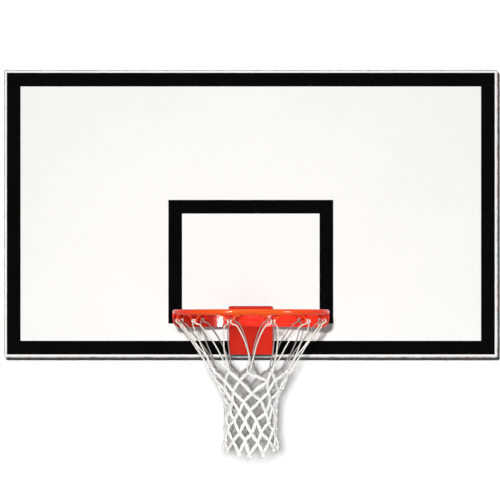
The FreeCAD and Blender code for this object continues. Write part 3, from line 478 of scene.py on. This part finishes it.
# a plain round rod along a curve
def makeRoundRod():
    tree, given, result = startTree("roundRod", {
        "Radius": ("Float", 0.0035), "Step": ("Float", 0.002), "Sides": ("Int", 16),
        "Material": ("Material", None)})
    links = {"Curve": evenCurve(tree, given), "Profile Curve": roundSection(tree, given), "Fill Caps": True}
    tube = addNode(tree, "GeometryNodeCurveToMesh", links)
    return endTree(tree, tube.outputs[0], given, result)


laidCord, copies, weldBead, roundRod = makeLaidCord(), makeCopies(), makeWeldBead(), makeRoundRod()


def growPiece(name, source, tree, values):
    modifier = source.modifiers.new("grow", "NODES")
    modifier.node_group = tree
    for item in tree.interface.items_tree:
        if item.in_out == "INPUT" and item.name in values:
            modifier[item.identifier] = values[item.name]
    graph = bpy.context.evaluated_depsgraph_get()
    grown = source.evaluated_get(graph)
    mesh = bpy.data.meshes.new_from_object(grown, preserve_all_data_layers=True, depsgraph=graph)
    mesh.name = name
    bpy.data.objects.remove(source)
    piece = bpy.data.objects.new(name, mesh)
    scene.collection.objects.link(piece)
    return piece


def curveSource(paths, smooth=True):
    curve = bpy.data.curves.new("paths", "CURVE")
    curve.dimensions = "3D"
    for path in paths:
        spline = curve.splines.new("BEZIER" if smooth else "POLY")
        points = spline.bezier_points if smooth else spline.points
        points.add(len(path) - 1)
        for point, spot in zip(points, path):
            if smooth:
                point.co = spot
                point.handle_left_type = point.handle_right_type = "AUTO"
            else:
                point.co = (*spot, 1.0)
        spline.resolution_u = 12
    source = bpy.data.objects.new("paths", curve)
    scene.collection.objects.link(source)
    return source


def pointSource(spots, turns):
    mesh = bpy.data.meshes.new("spots")
    mesh.from_pydata([tuple(spot) for spot in spots], [], [])
    attribute = mesh.attributes.new("turn", "FLOAT_VECTOR", "POINT")
    for item, turn in zip(attribute.data, turns):
        item.vector = turn
    source = bpy.data.objects.new("spots", mesh)
    scene.collection.objects.link(source)
    return source


def seatPiece(piece, body, replaced=(), bend=None):
    if bend:
        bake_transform(piece)
    else:
        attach(piece, body)
    if replaced:
        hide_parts(*replaced)
    print("piece", piece.name, "on", body, "with", len(piece.data.polygons), "faces")


# net: twelve loops over the hooks, two strands each, that meet at the knots; doubled cord in the mesh
netPlan = {
    "hooks": 12, "hookInset": 0.005, "hookWire": 0.0048, "cord": 0.0042, "second": 0.0066, "seat": 0.0003,
    "legs": 0.0048, "waist": 0.079, "taper": 0.262, "bow": 1.3, "flare": 0.006, "firstRow": 0.150,
    "rowStep": 0.031, "rows": 9, "pair": 0.0028, "step": 0.0018, "seed": 11, "sway": 0.055,
    "rowSlip": 0.0036, "hemSlip": 0.005, "puff": 0.0016, "strandPuff": 0.0014, "crossing": 0.0009,
    "strandMarks": (0.07, 0.16, 0.3, 0.48, 0.7), "spread": (0.92, 1.06), "tail": 0.010,
    "tailShare": (0.55, 1.0), "knot": 0.0056, "knotStep": 0.0034, "knotMarks": 14, "knotTurns": 2.1,
    "knotLean": 0.35, "knotTwist": 0.5,
}
netPitch = math.tau / netPlan["hooks"]
netMouth = ringRadius - netPlan["hookInset"]
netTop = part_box("net_hooks")[0].z + netPlan["hookWire"] / 2


def netRadius(depth, plan):
    if depth > plan["taper"]:
        length = plan["firstRow"] + plan["rowStep"] * (plan["rows"] - 1)
        return plan["waist"] + plan["flare"] * ((depth - plan["taper"]) / (length - plan["taper"])) ** 2
    return plan["waist"] + (netMouth - plan["waist"]) * (1 - depth / plan["taper"]) ** plan["bow"]


def netSpot(angle, depth, plan, out=0.0):
    radius = netRadius(depth, plan) + out
    x, y = radius * math.sin(angle), -radius * math.cos(angle)
    return Vector((ringMiddle.x + x, ringMiddle.y + y, netTop - depth))


def makeKnots(plan, chance):
    knots = {}
    for row in range(plan["rows"]):
        slip = plan["hemSlip"] if row == plan["rows"] - 1 else plan["rowSlip"]
        for column in range(plan["hooks"]):
            angle = (column + 0.5 * (row % 2)) * netPitch + chance.gauss(0, plan["sway"])
            depth = plan["firstRow"] + plan["rowStep"] * row + chance.gauss(0, slip)
            knots[row, column] = (angle, depth, chance.gauss(0, plan["puff"]))
    return knots


def hangPath(hook, side, plan, chance):
    hookAngle = (hook + 0.5) * netPitch
    full = netPitch / 2 * chance.uniform(*plan["spread"])
    path = []
    for share in plan["strandMarks"]:
        angle = hookAngle + side * full * share ** 0.5
        path.append(netSpot(angle, plan["firstRow"] * share, plan, chance.gauss(0, plan["strandPuff"])))
    return path


def meshPath(hook, side, plan, knots, chance):
    path = []
    for row in range(plan["rows"]):
        place = hook + 0.5 + side * 0.5 * (row + 1)
        column = round(place - 0.5 * (row % 2)) % plan["hooks"]
        angle, depth, out = knots[row, column]
        path.append(netSpot(angle, depth, plan, out + side * plan["crossing"]))
        if row < plan["rows"] - 1:
            follow = round(place + side * 0.5 - 0.5 * ((row + 1) % 2)) % plan["hooks"]
            ahead, lower, _ = knots[row + 1, follow]
            half = angle + ((ahead - angle + math.pi) % math.tau - math.pi) / 2
            path.append(netSpot(half, (depth + lower) / 2, plan, chance.gauss(0, plan["puff"])))
    tail = plan["tail"] * chance.uniform(*plan["tailShare"])  # cord ends, splayed a little
    path.append(netSpot(angle + side * 0.03, depth + tail * 0.5, plan, out + side * 0.001))
    path.append(netSpot(angle + side * 0.05, depth + tail, plan, out + chance.gauss(0, 0.0015)))
    return path


def pairPath(path, side, plan):
    moved = []
    for index, spot in enumerate(path):
        along = path[min(index + 1, len(path) - 1)] - path[max(index - 1, 0)]
        outward = Vector((spot.x - ringMiddle.x, spot.y - ringMiddle.y, 0))
        apart = plan["pair"] * (1.0 if index % 2 else 0.45)
        moved.append(spot + outward.normalized().cross(along.normalized()) * side * apart)
    return moved


def loopPath(hook, plan):
    hookAngle = (hook + 0.5) * netPitch
    outward = Vector((math.sin(hookAngle), -math.cos(hookAngle), 0))
    sideways = Vector((0, 0, 1)).cross(outward)
    bar = netSpot(hookAngle, 0, plan)
    around = (plan["hookWire"] + plan["cord"]) / 2 + plan["seat"]
    path = []
    for turn in (-0.45, 0.0, 0.25, 0.5, 0.75, 1.0):
        lean = plan["legs"] * (1.0 if turn < 0.5 else 1.6 - 1.2 * turn)
        lift = Vector((0, 0, around)) * math.sin(turn * math.pi)
        path.append(bar + outward * around * math.cos(turn * math.pi) + lift - sideways * lean)
    behind = [bar - outward * around * 1.15 - Vector((0, 0, around)) * 0.35]
    mirrored = [spot + sideways * 2 * (bar - spot).dot(sideways) for spot in path]
    return path + behind + mirrored[::-1]


def knotPath(plan):
    path = []
    for mark in range(plan["knotMarks"] + 1):
        turn = mark / plan["knotMarks"]
        angle = turn * plan["knotTurns"] * math.tau
        reach = plan["knot"] * min(1.0, 0.35 + 5 * turn, 0.35 + 5 * (1 - turn))  # drawn in at both ends
        rise = 1.2 * plan["knot"] * (turn - 0.5)
        path.append(Vector((reach * math.cos(angle), 0.85 * reach * math.sin(angle), rise)))
    return path


def makeNet(plan):
    chance = random.Random(plan["seed"])
    knots = makeKnots(plan, chance)
    loops, seconds = [], []
    for hook in range(plan["hooks"]):
        halves = []
        for side in (-1, 1):
            hang = hangPath(hook, side, plan, chance)
            mesh = meshPath(hook, side, plan, knots, chance)
            halves.append(hang + pairPath(mesh, 1, plan))
            seconds.append(pairPath(mesh, -1, plan))
        loops.append(halves[0][::-1] + loopPath(hook, plan) + halves[1])
    jobs = (("net_cords", loops, plan["cord"]), ("net_second_cords", seconds, plan["second"]))
    for name, paths, cord in jobs:
        cords = growPiece(name, curveSource(paths), laidCord,
                          {"Radius": cord / 2, "Step": plan["step"], "Material": finishes["netCord"]})
        seatPiece(cords, "rim", ["net"])
    wrap = growPiece("knotWrap", curveSource([knotPath(plan)]), laidCord,
                     {"Radius": plan["cord"] / 2, "Step": plan["knotStep"], "Sides": 6,
                      "Material": finishes["netCord"]})
    spots = [netSpot(angle, depth, plan, out) for angle, depth, out in knots.values()]
    lean, twist = plan["knotLean"], plan["knotTwist"]
    turns = [(chance.gauss(0, lean), chance.gauss(0, lean), angle + chance.gauss(0, twist))
             for angle, depth, out in knots.values()]
    ties = growPiece("net_knots", pointSource(spots, turns), copies,
                     {"Copy": wrap, "Smallest": 0.88, "Largest": 1.12, "Seed": plan["seed"],
                      "Material": finishes["netCord"]})
    bpy.data.objects.remove(wrap)
    seatPiece(ties, "rim", ["net"])


makeNet(netPlan)


# return springs: round wire wound closer at both ends, the end turns ground flat
springPlan = {"wire": 0.007, "turns": 4, "endGap": 0.001, "flat": 0.3, "marks": 24, "step": 0.0024}


def makeSprings(plan):
    low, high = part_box("return_springs")
    wire, length, height = plan["wire"], high.y - low.y, (low.z + high.z) / 2
    radius = (high.z - low.z - wire) / 2
    inset = plan["flat"] * wire
    endPitch = wire + plan["endGap"]
    freePitch = (length - 2 * inset - 2 * endPitch) / (plan["turns"] - 2)
    paths = []
    for side in (-1, 1):
        middle = side * (high.x - radius - wire / 2)
        path = []
        for mark in range(plan["turns"] * plan["marks"] + 1):
            turns = mark / plan["marks"]
            free = max(0.0, min(turns - 1, plan["turns"] - 2))
            along = inset + endPitch * (turns - free) + freePitch * free
            angle = math.tau * turns
            x, z = middle + radius * math.cos(angle), height + radius * math.sin(angle)
            path.append((x, high.y - along, z))
        paths.append(path)
    springs = growPiece("return_coils", curveSource(paths, smooth=False), roundRod,
                        {"Radius": wire / 2, "Step": plan["step"], "Material": finishes["springSteel"]})
    for vertex in springs.data.vertices:
        vertex.co.y = min(high.y, max(low.y, vertex.co.y))  # ground ends
    bend = {"b": "rim", "start": (0, high.y, height), "end": (0, low.y, height)}
    seatPiece(springs, "backboard", ["return_springs"], bend)


makeSprings(springPlan)


# rim bolts and nuts: chamfered hexagons and a cut thread
boltPlan = {"size": 0.009525, "flats": 0.0143, "crown": 0.475, "head": 0.0062, "pitch": 0.0016,
            "thread": 0.0009, "runout": 0.002, "chamfer": 0.0006, "marks": 6, "washer": 0.0206, "sides": 48,
            "slope": math.tan(math.radians(30)), "seed": 5}


def hexReach(angle, plan):
    return plan["flats"] / 2 / math.cos((angle + math.pi / 6) % (math.pi / 3) - math.pi / 6)


def turnedMesh(name, rows, plan, closed):
    mesh = bmesh.new()
    rings = []
    for row in rows:
        ring = []
        for step in range(plan["sides"]):
            angle = math.tau * step / plan["sides"]
            reach, along = row(angle)
            ring.append(mesh.verts.new((reach * math.cos(angle), along, reach * math.sin(angle))))
        rings.append(ring)
    pairs = list(zip(rings, rings[1:] + rings[:1])) if closed else list(zip(rings, rings[1:]))
    for first, second in pairs:
        for step in range(plan["sides"]):
            after = (step + 1) % plan["sides"]
            mesh.faces.new((first[step], first[after], second[after], second[step]))
    if not closed:
        mesh.faces.new(rings[0])
        mesh.faces.new(rings[-1][::-1])
    bmesh.ops.recalc_face_normals(mesh, faces=mesh.faces)
    data = bpy.data.meshes.new(name)
    mesh.to_mesh(data)
    mesh.free()
    item = bpy.data.objects.new(name, data)
    scene.collection.objects.link(item)
    return item


def steadyRow(reach, along):
    return lambda angle: (reach, along)


def hexRow(along, way, plan):
    crown = plan["crown"] * plan["flats"]

    def row(angle):
        reach = hexReach(angle, plan)
        return reach, along - way * (reach - crown) * plan["slope"]
    return row


def threadRow(along, plan):
    def row(angle):
        cut = abs(2 * ((along / plan["pitch"] - angle / math.tau) % 1.0) - 1)
        return plan["size"] / 2 - plan["thread"] * cut, along
    return row


def makeFasteners(plan):
    low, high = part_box("rim_bolts")
    nutLow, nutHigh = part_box("rim_nuts")
    length = high.y - low.y
    crown, radius, chamfer = plan["crown"] * plan["flats"], plan["size"] / 2, plan["chamfer"]
    dish = [steadyRow(0.6 * crown, 0.0004), steadyRow(0.66 * crown, 0.0)]  # shallow, in the head's top
    rows = dish + [steadyRow(crown, 0.0), hexRow(0.0, -1, plan),
                   lambda angle: (hexReach(angle, plan), plan["head"]), steadyRow(radius, plan["head"])]
    threadStart = nutLow.y - low.y - plan["runout"]
    rows += [steadyRow(radius, threadStart)]
    marks = plan["marks"]
    turns = int((length - chamfer - threadStart) / (plan["pitch"] / marks))
    rows += [threadRow(threadStart + (step + 1) * plan["pitch"] / marks, plan) for step in range(turns)]
    rows += [steadyRow(radius - plan["thread"], length)]
    bolt = turnedMesh("boltCopy", rows, plan, False)
    height = nutHigh.y - nutLow.y
    bore = radius - 0.2 * plan["thread"]  # a little inside the bolt's thread
    nutRows = [steadyRow(bore, chamfer), steadyRow(radius + chamfer, 0.0), steadyRow(crown, 0.0),
               hexRow(0.0, -1, plan), hexRow(height, 1, plan), steadyRow(crown, height),
               steadyRow(radius + chamfer, height), steadyRow(bore, height - chamfer)]
    nut = turnedMesh("nutCopy", nutRows, plan, True)
    washLow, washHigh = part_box("rim_washers")
    edge = plan["washer"] / 2
    across = (washLow.x + edge, washHigh.x - edge)
    levels = (washLow.z + edge, washHigh.z - edge)
    places = [(x, z) for x in across for z in levels]
    chance = random.Random(plan["seed"])
    jobs = (("hex_bolts", bolt, low.y, "rim_bolts"), ("hex_nuts", nut, nutLow.y, "rim_nuts"))
    for name, copy, start, node in jobs:
        spots = [(x, start, z) for x, z in places]
        turns = [(0.0, chance.uniform(0, math.tau), 0.0) for _ in places]
        piece = growPiece(name, pointSource(spots, turns), copies,
                          {"Copy": copy, "Smooth": False, "Material": finishes["zincPlate"]})
        bpy.data.objects.remove(copy)
        seatPiece(piece, "backboard", [node])


makeFasteners(boltPlan)


# weld beads: ring to brace and hooks, neck to plate and ring, stiffeners to the panel
weldPlan = {"bead": 0.0021, "tack": 0.0016, "step": 0.0024, "stitch": 0.026, "skip": 0.046, "brace": 84.0,
            "frameStitch": 0.036, "frameSkip": 0.150, "footIn": 0.022, "footOut": 0.029, "seamOut": 0.0022,
            "seamDrop": 0.0008, "proud": 0.0004, "corner": 0.008, "tackIn": 0.0060, "tackDrop": 0.0074,
            "sheetLift": 0.0006, "neckLift": 0.0002, "neckTop": 0.009, "neckFoot": 0.002}


def arcPath(radius, start, end, height, count=8):
    angles = [start + (end - start) * step / count for step in range(count + 1)]
    offsets = [(radius * math.sin(angle), radius * math.cos(angle)) for angle in angles]
    return [(ringMiddle.x + x, ringMiddle.y + y, ringMiddle.z + height) for x, y in offsets]


def stitchRuns(length, stitch, skip):
    count = max(1, int((length - stitch) / skip) + 1)
    first = (length - (count - 1) * skip - stitch) / 2
    return [(first + index * skip, first + index * skip + stitch) for index in range(count)]


def rimWelds(plan):
    reach = math.radians(plan["brace"])
    seam = ringRadius + plan["seamOut"]
    under = -rodRadius - plan["seamDrop"]
    paths = []
    for begin, finish in stitchRuns(2 * reach * seam, plan["stitch"], plan["skip"]):
        paths.append(arcPath(seam, begin / seam - reach, finish / seam - reach, under))
    neckLow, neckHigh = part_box("neck_channel")
    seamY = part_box("carrier")[0].y - plan["proud"]
    outer = ringRadius + rodRadius
    turn = math.asin((neckHigh.x - plan["corner"]) / outer)
    paths.append(arcPath(outer + plan["proud"], -turn, turn, neckHigh.z - ringMiddle.z + plan["neckLift"]))
    ends = (neckLow.x + plan["corner"], neckHigh.x - plan["corner"])
    paths.append([(x, seamY, neckHigh.z) for x in ends])
    for x in (neckLow.x, neckHigh.x):
        paths.append([(x, seamY, neckHigh.z - plan["neckTop"]), (x, seamY, neckLow.z + plan["neckFoot"])])
    return paths


def hookTacks(plan):
    radius = ringRadius - plan["tackIn"]
    paths = []
    for hook in range(netPlan["hooks"]):
        middle = math.pi + (hook + 0.5) * netPitch
        for side in (-1, 1):
            angles = [middle + side * distance / radius for distance in (plan["footIn"], plan["footOut"])]
            paths.append(arcPath(radius, *angles, -plan["tackDrop"], 3))
    return paths


def frameWelds(plan):
    paths = []
    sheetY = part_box("left_upright")[0].y + plan["sheetLift"]
    for node in ("left_upright", "right_upright", "left_rim_post", "right_rim_post"):
        low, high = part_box(node)
        for begin, finish in stitchRuns(high.z - low.z, plan["frameStitch"], plan["frameSkip"]):
            for x in (low.x, high.x):
                paths.append([(x, sheetY, low.z + begin), (x, sheetY, low.z + finish)])
    for node in ("upper_cross_rail", "lower_cross_rail"):
        low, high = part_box(node)
        for begin, finish in stitchRuns(high.x - low.x, plan["frameStitch"], plan["frameSkip"]):
            for z in (low.z, high.z):
                paths.append([(low.x + begin, sheetY, z), (low.x + finish, sheetY, z)])
    return paths


def makeWelds(plan):
    jobs = (("rim_welds", rimWelds(plan), plan["bead"], "bandCoat", "rim", "rim_orange"),
            ("hook_tacks", hookTacks(plan), plan["tack"], "ringCoat", "rim", "rim_orange"),
            ("frame_welds", frameWelds(plan), plan["bead"], "framePaint", "backboard", "frame_paint"))
    for name, paths, radius, finish, body, slot in jobs:
        beads = growPiece(name, curveSource(paths, smooth=False), weldBead,
                          {"Step": plan["step"], "Radius": radius, "Material": finishes[finish]})
        seatPiece(beads, body)


makeWelds(weldPlan)


# stage: walls just behind the board, for the shadows of the board and of the net, and a pale floor
wallPlans = {
    "edgeWall": {"gap": 0.006, "middle": 0.0, "half": 2.05, "fade": 2.05, "tone": (0.16, 0.16, 0.16)},
    "netWall": {"gap": 0.004, "middle": boardLow.z - 0.3125, "half": 0.30, "fade": 1.0,
                "tone": (0.40, 0.40, 0.40)},
}
floorPlan = {"drop": 0.42, "half": 4.0, "tone": (0.45, 0.45, 0.45), "lift": 0.70}


def seenDirectly(tree):
    ray = addNode(tree, "ShaderNodeLightPath").outputs
    mirrored = addMath(tree, "MAXIMUM", ray["Is Glossy Ray"], ray["Is Transmission Ray"])
    return addMath(tree, "MAXIMUM", ray["Is Camera Ray"], mirrored)


def stageFinish(name, colour, reach, lift=0.0):
    material = bpy.data.materials.new(name)
    material.use_nodes = True
    tree = material.node_tree
    tree.nodes.remove(tree.nodes["Principled BSDF"])
    paper = addNode(tree, "ShaderNodeBsdfDiffuse", {"Color": (*colour, 1.0)}).outputs[0]
    if lift:
        strength = addMath(tree, "MULTIPLY", seenDirectly(tree), lift)
        glow = addNode(tree, "ShaderNodeEmission", {"Strength": strength})
        paper = addNode(tree, "ShaderNodeAddShader", {0: paper, 1: glow.outputs[0]}).outputs[0]
    clear = addNode(tree, "ShaderNodeBsdfTransparent")
    fromMiddle = addNode(tree, "ShaderNodeVectorMath", {0: objectCoords(tree)}, operation="LENGTH")
    fade = addNode(tree, "ShaderNodeMapRange",
                   {0: fromMiddle.outputs["Value"], 1: reach * 0.55, 2: reach, 3: 0.0, 4: 1.0},
                   interpolation_type="SMOOTHSTEP")  # clear towards the plane's edges
    behind = addNode(tree, "ShaderNodeNewGeometry").outputs["Backfacing"]
    seeThrough = addMath(tree, "MAXIMUM", fade.outputs[0], behind)
    mix = addNode(tree, "ShaderNodeMixShader", {0: seeThrough, 1: paper, 2: clear.outputs[0]})
    tree.links.new(mix.outputs[0], tree.nodes["Material Output"].inputs["Surface"])
    return material


def stagePlane(name, finish, half, place, turn):
    mesh = bpy.data.meshes.new(name)
    corners = [(x * half, y * half, 0) for x, y in ((-1, -1), (1, -1), (1, 1), (-1, 1))]
    mesh.from_pydata(corners, [], [(0, 1, 2, 3)])
    mesh.materials.append(finish)
    plane = bpy.data.objects.new(name, mesh)
    plane.location = place
    plane.rotation_euler = turn
    scene.collection.objects.link(plane)
    return plane


def makeStage():
    for name, plan in wallPlans.items():
        place = (0, boardHigh.y + plan["gap"], plan["middle"])
        finish = stageFinish(name, plan["tone"], plan["fade"])
        wall = stagePlane(name, finish, plan["half"], place, (math.pi / 2, 0, 0))
        for ray in ("diffuse", "glossy", "transmission", "shadow"):
            setattr(wall, f"visible_{ray}", False)  # seen by the camera alone
    finish = stageFinish("paleFloor", floorPlan["tone"], floorPlan["half"], floorPlan["lift"])
    place = (0, ringMiddle.y, netLow.z - floorPlan["drop"])
    stagePlane("paleFloor", finish, floorPlan["half"], place, (0, 0, 0))


makeStage()


# light: lamps beside the camera, softboxes and strips for the rim, soft light from above and behind
ringPieces = ("ring", "net_hooks", "hook_tacks")
bandPieces = ("wrap_brace", "rim_welds")
platePieces = ("carrier", "neck_channel")
netPieces = ("net_cords", "net_second_cords", "net_knots")
panPieces = ("board_panel", "left_upright", "right_upright", "upper_cross_rail", "lower_cross_rail",
             "frame_welds")
offKey = ringPieces + bandPieces + platePieces + netPieces + tuple(wallPlans)
surround = 0.09
keyPlans = {
    "boardKey": {"level": 0.98, "aside": -0.08, "above": 0.14, "size": 0.035},
    "netKey": {"level": 0.97, "aside": -0.08, "above": -0.12, "size": 0.02, "fade": (0.015, 0.075),
               "rest": 0.1},
    "netWallKey": {"level": 2.6, "aside": -0.055, "above": 0.045, "size": 0.13},
    "edgeWallKey": {"level": 9.6, "aside": -0.45, "above": 0.62, "size": 0.15},
}
boxPlans = {
    "plateBox": {"turn": 52, "away": 2.6, "above": 0.565, "aim": 0.565, "wide": 0.26, "tall": 1.27,
                 "energy": 30.0, "on": platePieces, "unseen": ()},
    "ringLeft": {"turn": -62, "away": 2.6, "above": 0.40, "aim": 0.0, "wide": 0.5, "tall": 0.8,
                 "energy": 29.0, "on": ringPieces, "unseen": ("glossy",)},
    "ringRight": {"turn": 62, "away": 2.6, "above": 0.40, "aim": 0.0, "wide": 0.5, "tall": 0.8,
                  "energy": 29.0, "on": ringPieces, "unseen": ("glossy",)},
    "bandBox": {"turn": -40, "away": 2.6, "above": 0.70, "aim": 0.0, "wide": 0.5, "tall": 0.8,
                "energy": 68.0, "on": bandPieces, "unseen": ("glossy",)},
    "rimFill": {"turn": 0, "away": 2.6, "above": 0.06, "aim": 0.0, "wide": 0.4, "tall": 0.4,
                "energy": 38.0, "on": ringPieces + bandPieces + platePieces, "unseen": ("glossy",)},
    "leftStrip": {"turn": -30, "away": 2.6, "above": 0.525, "aim": 0.525, "wide": 0.34, "tall": 1.15,
                  "energy": 270.0, "on": ringPieces + bandPieces, "unseen": ("diffuse",)},
    "rightStrip": {"turn": 52, "away": 2.6, "above": 0.325, "aim": 0.325, "wide": 0.36, "tall": 1.15,
                   "energy": 420.0, "on": ringPieces + bandPieces, "unseen": ("diffuse",)},
    "topBox": {"turn": 0, "away": 1.2, "above": 1.7, "aim": 0.0, "wide": 1.0, "tall": 0.5,
               "energy": 10.0, "on": ringPieces + netPieces, "unseen": ("glossy",)},
    "leftEdge": {"turn": -98, "away": 3.0, "above": 0.36, "aim": 0.36, "wide": 0.26, "tall": 1.2,
                 "energy": 24.0, "on": panPieces, "unseen": ("glossy",)},
    "rightEdge": {"turn": 98, "away": 3.0, "above": 0.36, "aim": 0.36, "wide": 0.26, "tall": 1.2,
                  "energy": 24.0, "on": panPieces, "unseen": ("glossy",)},
    "topEdge": {"turn": 180, "away": 0.5, "above": 2.6, "aim": 0.0, "wide": 1.6, "tall": 0.16,
                "energy": 22.0, "on": panPieces, "unseen": ("glossy",)},
}
rearPlan = {"place": (0.9, 2.6, 1.4), "energy": 90.0, "wide": 2.0, "tall": 1.4}


def makeWorld():
    world = bpy.data.worlds.new("surround")
    world.use_nodes = True
    tree = world.node_tree
    strength = spreadValue(tree, seenDirectly(tree), surround, 1.0, 0.0, 1.0)
    background = tree.nodes["Background"]
    background.inputs["Color"].default_value = (1, 1, 1, 1)
    tree.links.new(strength, background.inputs["Strength"])
    scene.world = world


def addLamp(name, kind, place, target, energy, **settings):
    lamp = bpy.data.lights.new(name, kind)
    lamp.energy = energy
    for key, value in settings.items():
        setattr(lamp, key, value)
    item = bpy.data.objects.new(name, lamp)
    item.location = place
    item.rotation_euler = (Vector(target) - Vector(place)).to_track_quat("-Z", "Y").to_euler()
    item.visible_camera = False
    scene.collection.objects.link(item)
    return item


def lightGroup(name, pieces, state):
    group = bpy.data.collections.new(name)
    for piece in pieces:
        group.objects.link(nodes[piece] if piece in nodes else bpy.data.objects[piece])
    for member in group.collection_objects:
        member.light_linking.link_state = state
    return group


def addKey(name, plan):
    place = camera.location + Vector((plan["aside"], 0, plan["above"]))
    energy = plan["level"] * 4 * math.pi ** 2  # at level 1 a colour that faces the lamp shows as written
    key = addLamp(name, "POINT", place, ringMiddle, energy, shadow_soft_size=plan["size"])
    key.data.use_nodes = True
    tree = key.data.node_tree
    strength = addNode(tree, "ShaderNodeLightFalloff", {"Strength": 1.0}).outputs["Constant"]
    if "fade" in plan:  # weaker past the middle of the ring
        start, end = [(ringMiddle - place).length + past for past in plan["fade"]]
        distance = addNode(tree, "ShaderNodeLightPath").outputs["Ray Length"]
        share = spreadValue(tree, distance, 1.0, plan["rest"], start, end)
        strength = addMath(tree, "MULTIPLY", strength, share)
    tree.links.new(strength, tree.nodes["Emission"].inputs["Strength"])
    key.visible_glossy = False
    return key


def addSoftbox(name, plan):
    angle = math.radians(plan["turn"])
    away = plan["away"]
    place = ringMiddle + Vector((away * math.sin(angle), -away * math.cos(angle), plan["above"]))
    target = ringMiddle + Vector((0, 0, plan["aim"]))
    box = addLamp(name, "AREA", place, target, plan["energy"], shape="RECTANGLE", size=plan["wide"],
                  size_y=plan["tall"])
    box.light_linking.receiver_collection = lightGroup(name, plan["on"], "INCLUDE")
    for ray in plan["unseen"]:
        setattr(box, f"visible_{ray}", False)


def lightScene():
    makeWorld()
    keys = {name: addKey(name, plan).light_linking for name, plan in keyPlans.items()}
    keys["boardKey"].receiver_collection = lightGroup("offKey", offKey, "EXCLUDE")
    netOnly = lightGroup("netOnly", netPieces, "INCLUDE")
    keys["netKey"].receiver_collection = keys["netKey"].blocker_collection = netOnly
    keys["netWallKey"].receiver_collection = lightGroup("onNetWall", ("netWall",), "INCLUDE")
    keys["netWallKey"].blocker_collection = netOnly
    keys["edgeWallKey"].receiver_collection = lightGroup("onEdgeWall", ("edgeWall",), "INCLUDE")
    keys["edgeWallKey"].blocker_collection = lightGroup("boardOnly", ("board_panel",), "INCLUDE")
    for name, plan in boxPlans.items():
        addSoftbox(name, plan)
    addLamp("rearBox", "AREA", rearPlan["place"], (0, 0, 0), rearPlan["energy"], shape="RECTANGLE",
            size=rearPlan["wide"], size_y=rearPlan["tall"])


lightScene()
print("stage and light set")
